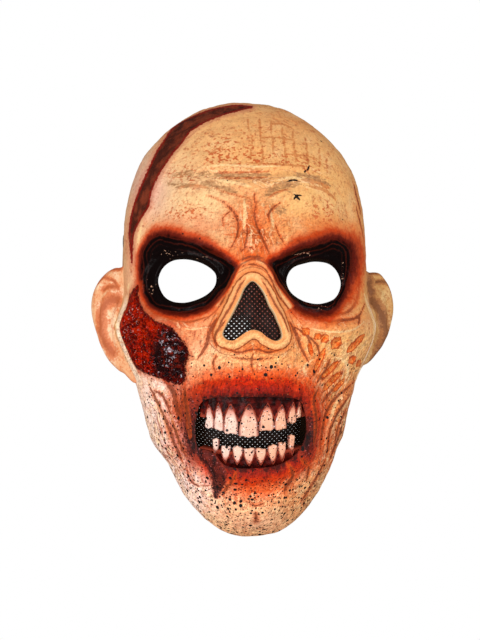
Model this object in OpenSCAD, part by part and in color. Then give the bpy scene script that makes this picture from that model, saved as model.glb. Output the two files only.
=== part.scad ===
// Halloween mask: a moulded latex face shell with ears, gums, teeth and mesh panels fixed
// to it, and an elastic band that swings on two rivets in the temples.
// X is to the right seen from the front, Y points to the back, Z up.
// The origin lies between the ears on the plane of the rim, level with the eye holes.

/* [Face] */
// Height from the bottom of the chin to the crown
mask_height = 266; // [220:1:320]
// Width of the shell level with the eyes, without the ears
face_width = 151; // [125:0.5:182]
// How far the middle of the face stands in front of the rim
face_depth = 90; // [72:1:108]
// Thickness of the latex
skin = 2.4; // [1.8:0.1:3.6]
// Depth of the dome's roundness, as a power of the distance from the nose
dome_power = 2.2; // [1.8:0.05:2.8]

/* [Openings] */
// Width of one eye hole
eye_width = 34.3; // [24:0.1:42]
// Height of one eye hole
eye_height = 25.2; // [18:0.1:30]
// Distance from the middle of the face to the middle of an eye hole
eye_offset = 37.9; // [32:0.1:44]
// Width of the mouth opening
mouth_width = 64; // [50:0.5:74]
// Height of the mouth opening
mouth_height = 42.5; // [34:0.5:48]

/* [Ears] */
// How far an ear stands out from the side of the shell
ear_reach = 25; // [16:0.5:30]
// Height of an ear
ear_height = 65; // [52:1:78]
// Thickness of an ear
ear_thickness = 5; // [3.5:0.1:7]
// Angle of an ear behind straight sideways
ear_sweep = 40; // [25:1:50]

/* [Teeth and gums] */
// Radius of the arch the teeth stand on, for a face of the standard width and depth
arch_radius = 52; // [46:0.5:64]
// Lean of the mouth, upper lip forward of the lower lip
mouth_lean = 15; // [8:0.5:20]
// Thickness of a tooth at its root
tooth_root = 4.6; // [3.4:0.1:5.2]
// Thickness of a tooth at its edge
tooth_edge = 2.2; // [1.4:0.1:3]

/* [Mesh panels] */
// Thickness of the black mesh
mesh_thickness = 0.8; // [0.5:0.1:1.4]

/* [Band and rivets] */
// Width of the elastic band
band_width = 20; // [14:0.5:26]
// Thickness of the elastic band
band_thickness = 1.6; // [1:0.1:2.4]
// Upward tilt of the band towards the back of the head
band_tilt = 8; // [0:0.5:12]
// How far behind the rivets the band starts to curve round the head
band_straight = 26; // [16:1:40]
// Radius of a rivet's shank
shank_radius = 2; // [1.5:0.05:2.6]
// Radius of a rivet's outer head
rivet_head_radius = 5.2; // [4.4:0.1:6.4]
// Running clearance of the band's eyelet on the shank, on the radius
eyelet_clearance = 0.06; // [0.02:0.01:0.1]

/* [Hidden] */
$fn = 48;

// Glued and seated pieces stand this far off what holds them
seat = 0.3;
// The shapes below are drawn for the standard face and stretched to the sizes above
sx = face_width / 151;
sz = mask_height / 266;
sy = face_depth / 90;
overrun = 2;

// Right half of the face's outline from the crown to the chin, x and z
half_outline = [[0, 111], [24, 107], [42, 97], [57, 83], [66.5, 67], [72, 48], [74.2, 28],
    [75, 8], [75.5, -12], [80.5, -29], [76, -43], [68, -61], [62.5, -80], [58, -97],
    [49, -113.5], [41, -129], [30.5, -142], [20, -150.5], [8, -154.5], [0, -155]];
// Right half of the nose opening from its top to the cusp between the nostrils
half_nose = [[0, -1.5], [5, -5], [7.5, -10], [10, -16], [13, -22], [15.5, -27],
    [17.5, -32], [16.5, -35.5], [13, -36.2], [9, -34.8], [5.5, -32], [2.5, -30.3], [0, -30]];
// Outline of an eye hole about its middle, as fractions of its width and height
eye_shape = [[-0.5, 0], [-0.46, 0.21], [-0.34, 0.36], [-0.17, 0.46], [0.03, 0.5],
    [0.24, 0.48], [0.4, 0.38], [0.48, 0.18], [0.5, -0.05], [0.44, -0.27], [0.3, -0.42],
    [0.09, -0.5], [-0.12, -0.47], [-0.3, -0.36], [-0.45, -0.19]];
// Right half of the mouth opening about its middle, as fractions of its width and height
half_mouth = [[0, 0.5], [0.34, 0.49], [0.45, 0.43], [0.49, 0.24], [0.5, 0],
    [0.47, -0.18], [0.4, -0.31], [0.28, -0.43], [0.14, -0.49], [0, -0.5]];
eye_z = -1.3;
mouth_z = -90.2;
middle_z = -22;

// Bumps and hollows on the dome: x, z, reach across, reach up, height
relief = [[-31, 20, 24, 9, 6], [31, 20, 24, 9, 6], [0, 18, 14, 10, 4],
    [-39, 0, 23, 17, -16], [39, 0, 23, 17, -16], [0, -24, 20, 24, 9],
    [-55, -28, 16, 14, 7], [55, -28, 16, 14, 7], [0, -86, 34, 30, 11],
    [0, -142, 22, 13, 14], [0, -124, 20, 8, -3], [-52, -70, 14, 18, -5],
    [52, -70, 14, 18, -5], [-62, 38, 12, 20, -4], [62, 38, 12, 20, -4]];
// Straight depth of the side wall at each height
wall_table = [[-155, 46], [-120, 36], [-60, 25], [0, 22], [60, 16], [111, 6]];
// How far the wall draws in towards the rim, by angle from straight up
draw_in_table = [[0, 0], [78, 0], [97, 0.05], [112, 0.02], [140, 0.02], [180, 0.06]];

around = 72;
rings = 20;
wall_rings = 3;
middle = [0, middle_z * sz];

function polar(points, c) = [for (p = points)
    let (d = [p[0] * sx, p[1] * sz] - c) [atan2(d[0], d[1]), norm(d)]];
face_table = polar(half_outline, middle);
nose_table = polar(half_nose, middle);

function slope(t, k) = k == 0 || k == len(t) - 1 ? 0
    : (t[k + 1][1] - t[k - 1][1]) / (t[k + 1][0] - t[k - 1][0]);
function smooth_at(t, a) = let (
        b = min(abs(a), t[len(t) - 1][0]),
        k = min(len(t) - 2, max([for (i = [0:len(t) - 1]) if (t[i][0] <= b) i])),
        h = t[k + 1][0] - t[k][0], u = (b - t[k][0]) / h)
    (2 * u ^ 3 - 3 * u ^ 2 + 1) * t[k][1] + (u ^ 3 - 2 * u ^ 2 + u) * h * slope(t, k)
    + (3 * u ^ 2 - 2 * u ^ 3) * t[k + 1][1] + (u ^ 3 - u ^ 2) * h * slope(t, k + 1);

function wall_at(a) = sy * lookup(middle_z + smooth_at(face_table, a) * cos(a) / sz, wall_table);
function relief_at(p, r) = min(1, 6 * (1 - r)) * sy * sum_of([for (b = relief)
    b[4] * exp(-((p[0] / sx - b[0]) / b[2]) ^ 2 - ((p[1] / sz - b[1]) / b[3]) ^ 2)]);
function sum_of(v) = v * [for (i = v) 1];
function depth_at(p) = let (d = p - middle, a = atan2(d[0], d[1]),
        r = min(1, norm(d) / smooth_at(face_table, a)), w = wall_at(a))
    w + (face_depth - w) * (1 - r ^ dome_power) ^ (1 / 1.9) + relief_at(p, r);

// The face's surface as rings of points, from the nose opening out to the edge and back to the rim
function angle_of(i) = i * 360 / around - 180;
function front_point(i, j) = let (a = angle_of(i), n = smooth_at(nose_table, a),
        r = n + (smooth_at(face_table, a) - n) * sin(90 * j / rings),
        p = middle + r * [sin(a), cos(a)])
    [p[0], -depth_at(p), p[1]];
function wall_point(i, k) = let (a = angle_of(i), w = wall_at(a), s = k / wall_rings,
        r = smooth_at(face_table, a) * (1 - lookup(abs(a), draw_in_table) * s),
        p = middle + r * [sin(a), cos(a)])
    [p[0], -w + (w + overrun) * s, p[1]];
skin_points = [for (j = [0:rings + wall_rings]) [for (i = [0:around - 1])
    j <= rings ? front_point(i, j) : wall_point(i, j - rings)]];
last_ring = rings + wall_rings;
function unit(v) = v / norm(v);
skin_normals = [for (j = [0:last_ring]) [for (i = [0:around - 1]) unit(cross(
    skin_points[j][(i + 1) % around] - skin_points[j][(i + around - 1) % around],
    skin_points[min(j + 1, last_ring)][i] - skin_points[max(j - 1, 0)][i]))]];
function offset_rings(d, from, to) = [for (j = [from:to]) for (i = [0:around - 1])
    skin_points[j][i] - d * skin_normals[j][i]];

// Triangles between two rings of points that start at a and b, split the same way on both halves
function strip(a, b) = [for (i = [0:around - 1]) let (n = (i + 1) % around)
    each i < around / 2 ? [[a + i, b + i, a + n], [a + n, b + i, b + n]]
        : [[a + i, b + i, b + n], [a + i, b + n, a + n]]];
function fan(a, tip) = [for (i = [0:around - 1]) [a + i, a + (i + 1) % around, tip]];
function flipped(f) = [for (t = f) [t[0], t[2], t[1]]];

module sheet_between(outer, inner, from, to) {
    n = to - from;
    count = (n + 1) * around;
    polyhedron(
        points = concat(offset_rings(outer, from, to), offset_rings(inner, from, to)),
        faces = concat(
            [for (j = [0:n - 1]) each strip(j * around, (j + 1) * around)],
            [for (j = [0:n - 1]) each flipped(strip(count + j * around, count + (j + 1) * around))],
            flipped(strip(0, count)),
            strip(n * around, count + n * around)));
}

// Everything behind the surface that lies d inside the skin, closed across the nose and the rim
module filled_form(d) {
    count = (last_ring + 1) * around;
    polyhedron(
        points = concat(offset_rings(d, 0, last_ring),
            [[0, d - depth_at(middle), middle[1]], [0, overrun, middle[1]]]),
        faces = concat(
            [for (j = [0:last_ring - 1]) each strip(j * around, (j + 1) * around)],
            fan(0, count),
            flipped(fan(last_ring * around, count + 1))));
}

// A closed curve through the points, drawn with two extra points in each gap
function rounded(p) = let (n = len(p)) [for (i = [0:n - 1]) let (
        a = p[(i + n - 1) % n], b = p[i], c = p[(i + 1) % n], d = p[(i + 2) % n])
    for (u = [0, 1 / 3, 2 / 3])
        (2 * b + (c - a) * u + (2 * a - 5 * b + 4 * c - d) * u ^ 2
            + (3 * b - a - 3 * c + d) * u ^ 3) / 2];
function mirrored(half) = concat(half,
    [for (i = [len(half) - 2:-1:1]) [-half[i][0], half[i][1]]]);
function scaled(p, w, h) = [for (q = p) [q[0] * w, q[1] * h]];

module through_front(points) {
    rotate([90, 0, 0]) linear_extrude(face_depth + 40) polygon(points);
}

module eye_hole(side) {
    translate([side * eye_offset * sx, 0, eye_z * sz])
        through_front(rounded(scaled(eye_shape, side * eye_width, eye_height)));
}

module mouth_hole() {
    translate([0, -face_depth / 2, mouth_z * sz])
        through_front(rounded(scaled(mirrored(half_mouth), mouth_width * sx, mouth_height * sz)));
}

// Rivet stations in the temples, measured inwards from the side of the shell
rivet_y = -11;
rivet_z = 24;
side_x = sx * lookup(-rivet_z, [for (p = half_outline) [-p[1], p[0]]]);
boss_radius = 8.5;
head_pocket = 0.9;
boss_depth = head_pocket + skin + 0.2;
patch_thickness = 1.2;
patch_in = boss_depth + seat;
band_in = patch_in + patch_thickness + seat;
washer_in = band_in + band_thickness + seat;
washer_thickness = 0.8;
clinch_in = washer_in + washer_thickness + seat;
clinch_thickness = 1.2;
rivet_head_thickness = 1.2;
loose_hole = shank_radius + seat;

// A cylinder across the mask at a rivet, from one distance inside the side to another
module at_rivet(side, from, to, r) {
    translate([side * (side_x - to), rivet_y, rivet_z * sz])
        rotate([0, side * 90, 0]) cylinder(r = r, h = to - from);
}

module face_shell() color("burlywood") difference() {
    union() {
        sheet_between(0, skin, 0, last_ring);
        for (side = [-1, 1]) at_rivet(side, 0.2, boss_depth, boss_radius);
    }
    translate([-face_width, 0, -mask_height]) cube([2 * face_width, 20, 2 * mask_height]);
    eye_hole(-1);
    eye_hole(1);
    mouth_hole();
    for (side = [-1, 1]) {
        at_rivet(side, -4, head_pocket, rivet_head_radius + 2 * seat);
        at_rivet(side, -4, boss_depth + 4, loose_hole);
    }
}

// Ear outline: u runs out from the shell as a fraction of the reach, z as a fraction of the height
ear_shape = [[-0.4, 0.46], [0.12, 0.505], [0.36, 0.495], [0.56, 0.445], [0.74, 0.37],
    [0.87, 0.28], [0.94, 0.18], [0.935, 0.08], [0.86, -0.02], [0.75, -0.13], [0.61, -0.24],
    [0.35, -0.36], [0.08, -0.43], [-0.1, -0.475], [-0.5, -0.52]];
concha_shape = [[0.26, 0.34], [0.52, 0.3], [0.68, 0.18], [0.69, 0.05], [0.58, -0.1],
    [0.42, -0.21], [0.25, -0.26], [0.18, 0.05]];
ear_z = -24.5;
ear_y = -23;
ear_x = 75;

module ear(side) {
    difference() {
        translate([side * ear_x * sx, ear_y, ear_z * sz]) rotate([0, 0, side * ear_sweep])
            rotate([90, 0, 0]) difference() {
                translate([0, 0, -ear_thickness / 2]) linear_extrude(ear_thickness)
                    polygon(rounded(scaled(ear_shape, side * ear_reach, ear_height)));
                translate([0, 0, ear_thickness * 0.05]) linear_extrude(ear_thickness)
                    polygon(rounded(scaled(concha_shape, side * ear_reach, ear_height)));
            }
        rotate([90, 0, 0]) translate([0, 0, -overrun]) linear_extrude(face_depth)
            polygon([for (i = [0:around - 1]) let (a = angle_of(i))
                middle + (smooth_at(face_table, a) + seat) * [sin(a), cos(a)]]);
    }
}
module left_ear() color("burlywood") ear(-1);
module right_ear() color("burlywood") ear(1);

module nose_mesh() color("black") {
    outer = skin + seat;
    inner = outer + mesh_thickness;
    n = 2;
    count = (n + 1) * around;
    tip = 2 * count;
    polyhedron(
        points = concat(offset_rings(outer, 0, n), offset_rings(inner, 0, n),
            [[0, outer - depth_at(middle), middle[1]], [0, inner - depth_at(middle), middle[1]]]),
        faces = concat(
            [for (j = [0:n - 1]) each strip(j * around, (j + 1) * around)],
            [for (j = [0:n - 1]) each flipped(strip(count + j * around, count + (j + 1) * around))],
            fan(0, tip), flipped(fan(count, tip + 1)),
            strip(n * around, count + n * around)));
}

// The arch follows the shell when its width or depth changes: the last tooth keeps its place behind
// the lip, and a flatter arch stands further back, so that its ends stay clear
arch_end = 27.4;
function fall_back(r) = r - sqrt(r ^ 2 - arch_end ^ 2);
arch_fall = fall_back(arch_radius) * sy;
arch_r = ((arch_end * sx) ^ 2 + arch_fall ^ 2) / (2 * arch_fall);
arch_back = max(0, fall_back(52) * sy - arch_fall);
function turn(a) = asin(sin(a) * 52 * sx / arch_r);

// The mouth's own frame: x across, y back from the front of the teeth, z up the lean
module in_mouth() {
    translate([0, arch_back - 86.3 * sy, -91 * sz])
        rotate([atan(tan(mouth_lean) * sy / sz), 0, 0]) children();
}
// Part of a ring about the arch's axis, between two radii, two heights and half an angle each way
module arch(r1, r2, low, high, half_angle) {
    translate([0, arch_r, low]) rotate([0, 0, -90 - turn(half_angle)])
        rotate_extrude(angle = 2 * turn(half_angle)) translate([r1, 0]) square([r2 - r1, high - low]);
}
gum_back = arch_r - tooth_root - 2 * seat - 0.6;

// Each tooth: angle round the arch, width, height of its root and height of its edge
upper_teeth = [[-30, 5.4, 17, 1.2], [-23.3, 5.8, 19, 0.8], [-15.2, 7.9, 19, -0.7],
    [-3.3, 11, 20, -2.1], [8.5, 8.8, 20, 1.6], [18.3, 7.2, 18, 1.5], [26.5, 5.4, 19, 4.6],
    [31.8, 3.8, 18, 7]];
lower_teeth = [[-25.3, 4.2, -15, -5.1], [-18.2, 5.6, -20, -8.8], [-10.2, 6, -21, -8.5],
    [-2.6, 6.5, -21.5, -9.3], [5.1, 6.3, -21, -9.6], [13.2, 5.8, -21, -7.9],
    [19.7, 5, -19.5, -6.7], [27.1, 4.4, -15, -3.1]];

module tooth(t, grow) {
    width = t[1] * sx;
    root = t[2] * sz;
    edge = t[3] * sz;
    up = sign(root - edge);
    in_mouth() translate([0, arch_r, 0]) rotate([0, 0, turn(t[0])]) translate([0, -arch_r, 0])
        intersection() {
            rotate([90, 0, 0]) translate([0, 0, -10]) linear_extrude(20) polygon([
                [-width * 0.3 - grow, root + up * grow], [width * 0.3 + grow, root + up * grow],
                [width * 0.42 + grow, root - up * 4], [width * 0.5 + grow, edge + up * 2.2],
                [width * 0.42 + grow, edge - up * grow], [-width * 0.42 - grow, edge - up * grow],
                [-width * 0.5 - grow, edge + up * 2.2], [-width * 0.42 - grow, root - up * 4]]);
            rotate([90, 0, 90]) translate([0, 0, -10]) linear_extrude(20) polygon([
                [-grow, root + up * grow], [tooth_root + grow, root + up * grow],
                [tooth_root + grow, (root + edge) / 2], [tooth_edge + grow, edge - up * grow],
                [-grow + 0.4, edge - up * grow], [-grow - 0.3, edge + up * 3]]);
        }
}

module gum(teeth, low, high) color("darkred") difference() {
    intersection() {
        filled_form(skin + seat);
        in_mouth() arch(gum_back, arch_r + 12, low * sz, high * sz, 37);
    }
    for (t = teeth) tooth(t, seat);
}
module upper_gum() gum(upper_teeth, 13.5, 28);
module lower_gum() gum(lower_teeth, -29, -15.5);

module mouth_mesh() color("black") in_mouth()
    arch(gum_back - seat - mesh_thickness, gum_back - seat, -28 * sz, 27 * sz, 48);

module left_patch() color("dimgray") patch(-1);
module right_patch() color("dimgray") patch(1);
module patch(side) difference() {
    at_rivet(side, patch_in, patch_in + patch_thickness, boss_radius - 0.5);
    at_rivet(side, patch_in - 1, patch_in + patch_thickness + 1, loose_hole);
}

module left_washer() color("silver") washer(-1);
module right_washer() color("silver") washer(1);
module washer(side) difference() {
    at_rivet(side, washer_in, washer_in + washer_thickness, rivet_head_radius - 0.4);
    at_rivet(side, washer_in - 1, washer_in + washer_thickness + 1, loose_hole);
}

module left_rivet() color("silver") rivet(-1);
module right_rivet() color("silver") rivet(1);
module rivet(side) {
    at_rivet(side, head_pocket - seat - rivet_head_thickness, head_pocket - seat, rivet_head_radius);
    at_rivet(side, head_pocket - seat - 0.1, clinch_in + 0.1, shank_radius);
    at_rivet(side, clinch_in, clinch_in + clinch_thickness, shank_radius + 1.5);
}

band_radius = side_x - band_in;
module band_path() {
    difference() {
        union() {
            circle(r = band_radius, $fn = 96);
            translate([-band_radius, -band_straight - band_width]) square([2 * band_radius, band_straight + band_width]);
        }
        circle(r = band_radius - band_thickness, $fn = 96);
        translate([-band_radius + band_thickness, -band_straight - band_width - 1])
            square([2 * (band_radius - band_thickness), band_straight + band_width + 1]);
    }
}
module elastic_band() color("black")
    translate([0, rivet_y, rivet_z * sz]) rotate([band_tilt, 0, 0]) difference() {
        intersection() {
            translate([0, band_straight, -band_width / 2]) linear_extrude(band_width) band_path();
            translate([-face_width, 0, 0]) rotate([0, 90, 0]) linear_extrude(2 * face_width) {
                circle(r = band_width / 2);
                translate([-band_width / 2, 0]) square([band_width, 2 * face_width]);
            }
        }
        translate([-face_width, 0, 0]) rotate([0, 90, 0])
            cylinder(r = shank_radius + eyelet_clearance, h = 2 * face_width);
    }

face_shell();
left_ear();
right_ear();
nose_mesh();
mouth_mesh();
upper_gum();
lower_gum();
for (i = [1:8]) color("ivory") {
    tooth(upper_teeth[i - 1], 0);
    tooth(lower_teeth[i - 1], 0);
}
left_patch();
right_patch();
left_rivet();
right_rivet();
left_washer();
right_washer();
elastic_band();
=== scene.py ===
import math
import bpy
import bmesh
import numpy as np
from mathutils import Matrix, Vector, noise


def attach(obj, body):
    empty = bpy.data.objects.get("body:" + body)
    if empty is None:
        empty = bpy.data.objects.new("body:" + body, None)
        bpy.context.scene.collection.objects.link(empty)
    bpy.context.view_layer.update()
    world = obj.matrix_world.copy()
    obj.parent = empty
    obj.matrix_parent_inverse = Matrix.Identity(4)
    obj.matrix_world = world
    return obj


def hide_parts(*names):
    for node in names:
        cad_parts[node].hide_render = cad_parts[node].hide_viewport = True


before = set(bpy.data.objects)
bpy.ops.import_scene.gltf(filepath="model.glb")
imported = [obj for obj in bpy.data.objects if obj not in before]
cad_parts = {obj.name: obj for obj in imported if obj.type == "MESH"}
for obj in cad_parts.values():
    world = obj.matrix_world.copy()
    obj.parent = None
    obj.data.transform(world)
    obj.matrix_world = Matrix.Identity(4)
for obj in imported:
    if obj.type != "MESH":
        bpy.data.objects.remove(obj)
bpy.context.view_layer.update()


def lin(r, g, b, a=1.0):
    out = []
    for c in (r, g, b):
        c = c / 255
        out.append(c / 12.92 if c <= 0.04045 else ((c + 0.055) / 1.055) ** 2.4)
    return (out[0], out[1], out[2], a)


def curve(points, steps=6, closed=False):  # catmull-rom through given points
    p = np.array(points, float)
    n = len(p)
    out = []
    for i in range(n if closed else n - 1):
        a = p[(i - 1) % n] if closed or i > 0 else p[0]
        b = p[i]
        c = p[(i + 1) % n]
        d = p[(i + 2) % n] if closed or i + 2 < n else p[-1]
        for k in range(steps):
            u = k / steps
            out.append((2 * b + (c - a) * u + (2 * a - 5 * b + 4 * c - d) * u * u
                        + (3 * b - a - 3 * c + d) * u ** 3) / 2)
    if not closed:
        out.append(p[-1])
    return np.array(out)


def lineDist(pts, line, closed=False):  # distance and position along the line
    best = np.full(len(pts), 1e9)
    along = np.zeros(len(pts))
    count = len(line) if closed else len(line) - 1
    for i in range(count):
        a = line[i]
        ab = line[(i + 1) % len(line)] - a
        t = np.clip(((pts - a) @ ab) / max(ab @ ab, 1e-9), 0, 1)
        q = pts - a - t[:, None] * ab
        d = np.hypot(q[:, 0], q[:, 1])
        near = d < best
        best = np.where(near, d, best)
        along = np.where(near, (i + t) / count, along)
    return best, along


def insideOf(pts, loop):
    hit = np.zeros(len(pts), bool)
    x = pts[:, 0]
    z = pts[:, 1]
    for i in range(len(loop)):
        x1, z1 = loop[i]
        x2, z2 = loop[(i + 1) % len(loop)]
        if z1 == z2:
            continue
        cross = ((z1 > z) != (z2 > z)) & (x < (x2 - x1) * (z - z1) / (z2 - z1) + x1)
        hit ^= cross
    return hit


def within(pts, loop):  # how far inside a closed outline, negative outside
    d, _ = lineDist(pts, loop, True)
    return np.where(insideOf(pts, loop), d, -d)


def nearBox(pts, line, reach):
    lo = line.min(0) - reach
    hi = line.max(0) + reach
    return np.nonzero(((pts >= lo) & (pts <= hi)).all(1))[0]


def brush(pts, strokes, steps=5):  # 1 on a stroke's middle, 0 at its edge, -1 well outside
    out = np.full(len(pts), -1.0)
    for points, width in strokes:
        line = curve(points, steps)
        idx = nearBox(pts, line, width * 2)
        if not len(idx):
            continue
        d, t = lineDist(pts[idx], line)
        w = width * np.clip(0.35 + 2.6 * np.minimum(t, 1 - t), 0, 1)  # strokes thin out at the ends
        out[idx] = np.maximum(out[idx], np.clip(1 - d / w, -1, 1))
    return out


def ridges(pts, lines, steps=5):  # raised (or sunk) lines
    out = np.zeros(len(pts))
    for points, width, height in lines:
        line = curve(points, steps)
        idx = nearBox(pts, line, width * 2.6)
        if not len(idx):
            continue
        d, t = lineDist(pts[idx], line)
        ends = np.clip(0.25 + 3 * np.minimum(t, 1 - t), 0, 1)
        out[idx] += height * ends * np.exp(-(d / width) ** 2)
    return out


def noiseAt(pts3, size, depth=2, seed=0.0):
    return np.array([noise.fractal(Vector((p[0] / size + seed, p[1] / size, p[2] / size)),
                                   1.0, 2.0, depth) for p in pts3])


def spot(pts, x, z, reachX, reachZ):  # 1 in the middle of a soft oval, fading outwards
    return np.exp(-((pts[:, 0] - x) / reachX) ** 2 - ((pts[:, 1] - z) / reachZ) ** 2)


def ramp(x, lo, hi):
    t = np.clip((x - lo) / (hi - lo), 0, 1)
    return t * t * (3 - 2 * t)


def makeObject(name, verts, faces):
    mesh = bpy.data.meshes.new(name)
    mesh.from_pydata([tuple(v) for v in verts], [], [tuple(f) for f in faces])
    mesh.validate()
    obj = bpy.data.objects.new(name, mesh)
    bpy.context.scene.collection.objects.link(obj)
    mesh.shade_smooth()
    return obj


def fromBmesh(name, bm, smooth=True):
    bmesh.ops.recalc_face_normals(bm, faces=bm.faces)
    mesh = bpy.data.meshes.new(name)
    bm.to_mesh(mesh)
    bm.free()
    obj = bpy.data.objects.new(name, mesh)
    bpy.context.scene.collection.objects.link(obj)
    if smooth:
        mesh.shade_smooth()
    return obj


def solidOf(name, points, faces):  # points in millimetres
    bm = bmesh.new()
    corners = [bm.verts.new(p / 1000) for p in points]
    for f in faces:
        bm.faces.new([corners[k] for k in f])
    return fromBmesh(name, bm)


def putAttribute(obj, name, values):
    layer = obj.data.attributes.new(name, 'FLOAT', 'POINT')
    layer.data.foreach_set('value', np.asarray(values, np.float32))


def putColor(obj, name, values):
    layer = obj.data.attributes.new(name, 'FLOAT_COLOR', 'POINT')
    layer.data.foreach_set('color', np.asarray(values, np.float32).ravel())


class Nodes:
    def __init__(self, name):
        self.mat = bpy.data.materials.new(name)
        self.mat.use_nodes = True
        self.tree = self.mat.node_tree
        self.shader = self.tree.nodes['Principled BSDF']
        self.coords = self.add('ShaderNodeTexCoord').outputs['Object']

    def add(self, kind, **values):
        node = self.tree.nodes.new(kind)
        for key, value in values.items():
            setattr(node, key, value)
        return node

    def link(self, a, b):
        self.tree.links.new(a, b)

    def put(self, socket, value):
        if isinstance(value, bpy.types.NodeSocket):
            self.link(value, socket)
        else:
            socket.default_value = value

    def attr(self, name, out='Fac'):
        return self.add('ShaderNodeAttribute', attribute_name=name).outputs[out]

    def math(self, kind, a, b=0.0):
        node = self.add('ShaderNodeMath', operation=kind)
        self.put(node.inputs[0], a)
        self.put(node.inputs[1], b)
        return node.outputs[0]

    def plus(self, a, b):
        return self.math('ADD', a, b)

    def minus(self, a, b):
        return self.math('SUBTRACT', a, b)

    def times(self, a, b):
        return self.math('MULTIPLY', a, b)

    def noise(self, scale, detail=3.0, rough=0.55, vector=None):
        node = self.add('ShaderNodeTexNoise')
        self.link(vector or self.coords, node.inputs['Vector'])
        node.inputs['Scale'].default_value = scale
        node.inputs['Detail'].default_value = detail
        node.inputs['Roughness'].default_value = rough
        return node.outputs['Fac']

    def step(self, value, lo, hi):  # 0 below lo, 1 above hi
        node = self.add('ShaderNodeMapRange', interpolation_type='SMOOTHSTEP')
        self.put(node.inputs['Value'], value)
        self.put(node.inputs['From Min'], lo)
        self.put(node.inputs['From Max'], hi)
        return node.outputs['Result']

    def mix(self, fac, a, b):
        node = self.add('ShaderNodeMix', data_type='RGBA')
        self.put(node.inputs[0], fac)
        self.put(node.inputs[6], a)
        self.put(node.inputs[7], b)
        return node.outputs[2]

    def lay(self, col, where, share, *rgb):  # a colour laid over part of the surface
        return self.mix(self.times(where, share), col, lin(*rgb))

    # round specks of every size up to a limit
    def specks(self, col, scale, limit, share, power, soft, rgb):
        cells = self.add('ShaderNodeTexVoronoi')
        self.link(self.coords, cells.inputs['Vector'])
        cells.inputs['Scale'].default_value = scale
        pick = self.add('ShaderNodeSeparateColor')
        self.link(cells.outputs['Color'], pick.inputs[0])
        size = self.times(self.math('POWER', pick.outputs[0], power), limit)
        there = self.math('LESS_THAN', pick.outputs[1], share)
        inside = self.step(self.minus(size, cells.outputs['Distance']), 0.0, soft)
        return self.mix(self.times(inside, there), col, lin(*rgb))

    def blend(self, fac, a, b):
        node = self.add('ShaderNodeMix', data_type='FLOAT')
        self.put(node.inputs[0], fac)
        self.put(node.inputs[2], a)
        self.put(node.inputs[3], b)
        return node.outputs[0]

    def stretched(self, sx, sy, sz):
        node = self.add('ShaderNodeMapping')
        self.link(self.coords, node.inputs['Vector'])
        node.inputs['Scale'].default_value = (sx, sy, sz)
        return node.outputs['Vector']

    def bump(self, height, distance, strength=1.0, normal=None):
        node = self.add('ShaderNodeBump')
        self.put(node.inputs['Height'], height)
        node.inputs['Distance'].default_value = distance
        self.put(node.inputs['Strength'], strength)
        if normal:
            self.link(normal, node.inputs['Normal'])
        return node.outputs['Normal']

    def finish(self, color, rough, normal=None, metal=0.0):
        self.put(self.shader.inputs['Base Color'], color)
        self.put(self.shader.inputs['Roughness'], rough)
        self.put(self.shader.inputs['Metallic'], metal)
        if normal:
            self.link(normal, self.shader.inputs['Normal'])
        return self.mat


faceSet = dict(around=420, rings=150, wallRings=14, innerAround=105, innerRings=44, innerWall=5,
               skin=2.2, depth=90, middle=(0, -22), power=2.2, roundness=1.9)

halfOutline = [
    (0, 111), (24, 107), (42, 97), (57, 83), (66.5, 67), (72, 48), (74.2, 28), (75, 8), (75.5, -12),
    (80.5, -29), (76, -43), (68, -61), (62.5, -80), (58, -97), (49, -113.5), (41, -129), (30.5, -142),
    (20, -150.5), (8, -154.5), (0, -155)]
noseLoop = [
    (-1, -1), (4, -5), (7, -10), (9, -15), (12, -20), (14, -25), (16, -30), (16.5, -34), (14, -36.2),
    (11, -36), (7, -34), (4, -31.5), (1, -30.2), (-2, -30), (-5, -31), (-8, -33), (-11, -35.5),
    (-14, -36.3), (-17.5, -35), (-19, -32), (-17.5, -28), (-15, -23), (-12, -17), (-9, -11), (-6, -5)]
eyeLeft = [
    (-55, -2), (-54, 4), (-51, 8.5), (-46, 11.5), (-39, 12), (-32, 10.5), (-26, 7.5), (-22, 3.5),
    (-21.5, -1), (-23, -5), (-27, -9), (-33, -12), (-40, -13.7), (-47, -13), (-52, -9.5)]
eyeRight = [
    (20, -1), (21.5, 4), (25, 7.5), (31, 9.5), (38, 10.8), (46, 10), (51, 7), (54, 2.5), (55, -2.5),
    (53.5, -7.5), (50, -11.5), (44, -13.8), (38, -14.4), (31, -13), (25, -9.8), (21.5, -6)]
mouthLoop = [
    (-32, -75), (-27, -70.5), (-18, -69.3), (0, -69), (18, -69.6), (27, -71.5), (30.5, -78), (32, -88),
    (30.5, -96), (27, -102), (20, -107.5), (11, -110.6), (0, -111.5), (-11, -111.3), (-18, -108.8),
    (-22, -104), (-27, -101), (-32.5, -99), (-34, -88)]
sockLeft = [
    (-65, 14), (-65, -4), (-62, -11), (-58, -16), (-49, -19), (-40, -20), (-32, -18), (-26, -15),
    (-20, -9), (-15, -4), (-12, 2), (-11, 7), (-15, 11), (-22, 15), (-31, 20), (-40, 23), (-49, 26),
    (-57, 26), (-62, 21)]
sockRight = [
    (10, 9), (15, 12), (21, 15), (27, 18), (34, 20), (41, 22), (48, 24), (54, 23), (60, 20), (63, 13),
    (65, 5), (64, -4), (62, -10), (57, -15), (51, -18), (43, -19), (37, -19), (30, -17), (24, -13),
    (19, -8), (15, -4), (12, 1)]
woundLoop = [
    (-67, -3), (-72, -10), (-75, -16), (-79, -22), (-82, -27), (-80, -34), (-77, -41), (-73, -47),
    (-69, -52), (-62, -56), (-55, -58), (-47, -61), (-42, -62), (-40, -57), (-40, -50), (-38, -45),
    (-40, -39), (-44, -34), (-48, -29), (-54, -26), (-60, -23), (-64, -18), (-67, -11)]
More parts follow.
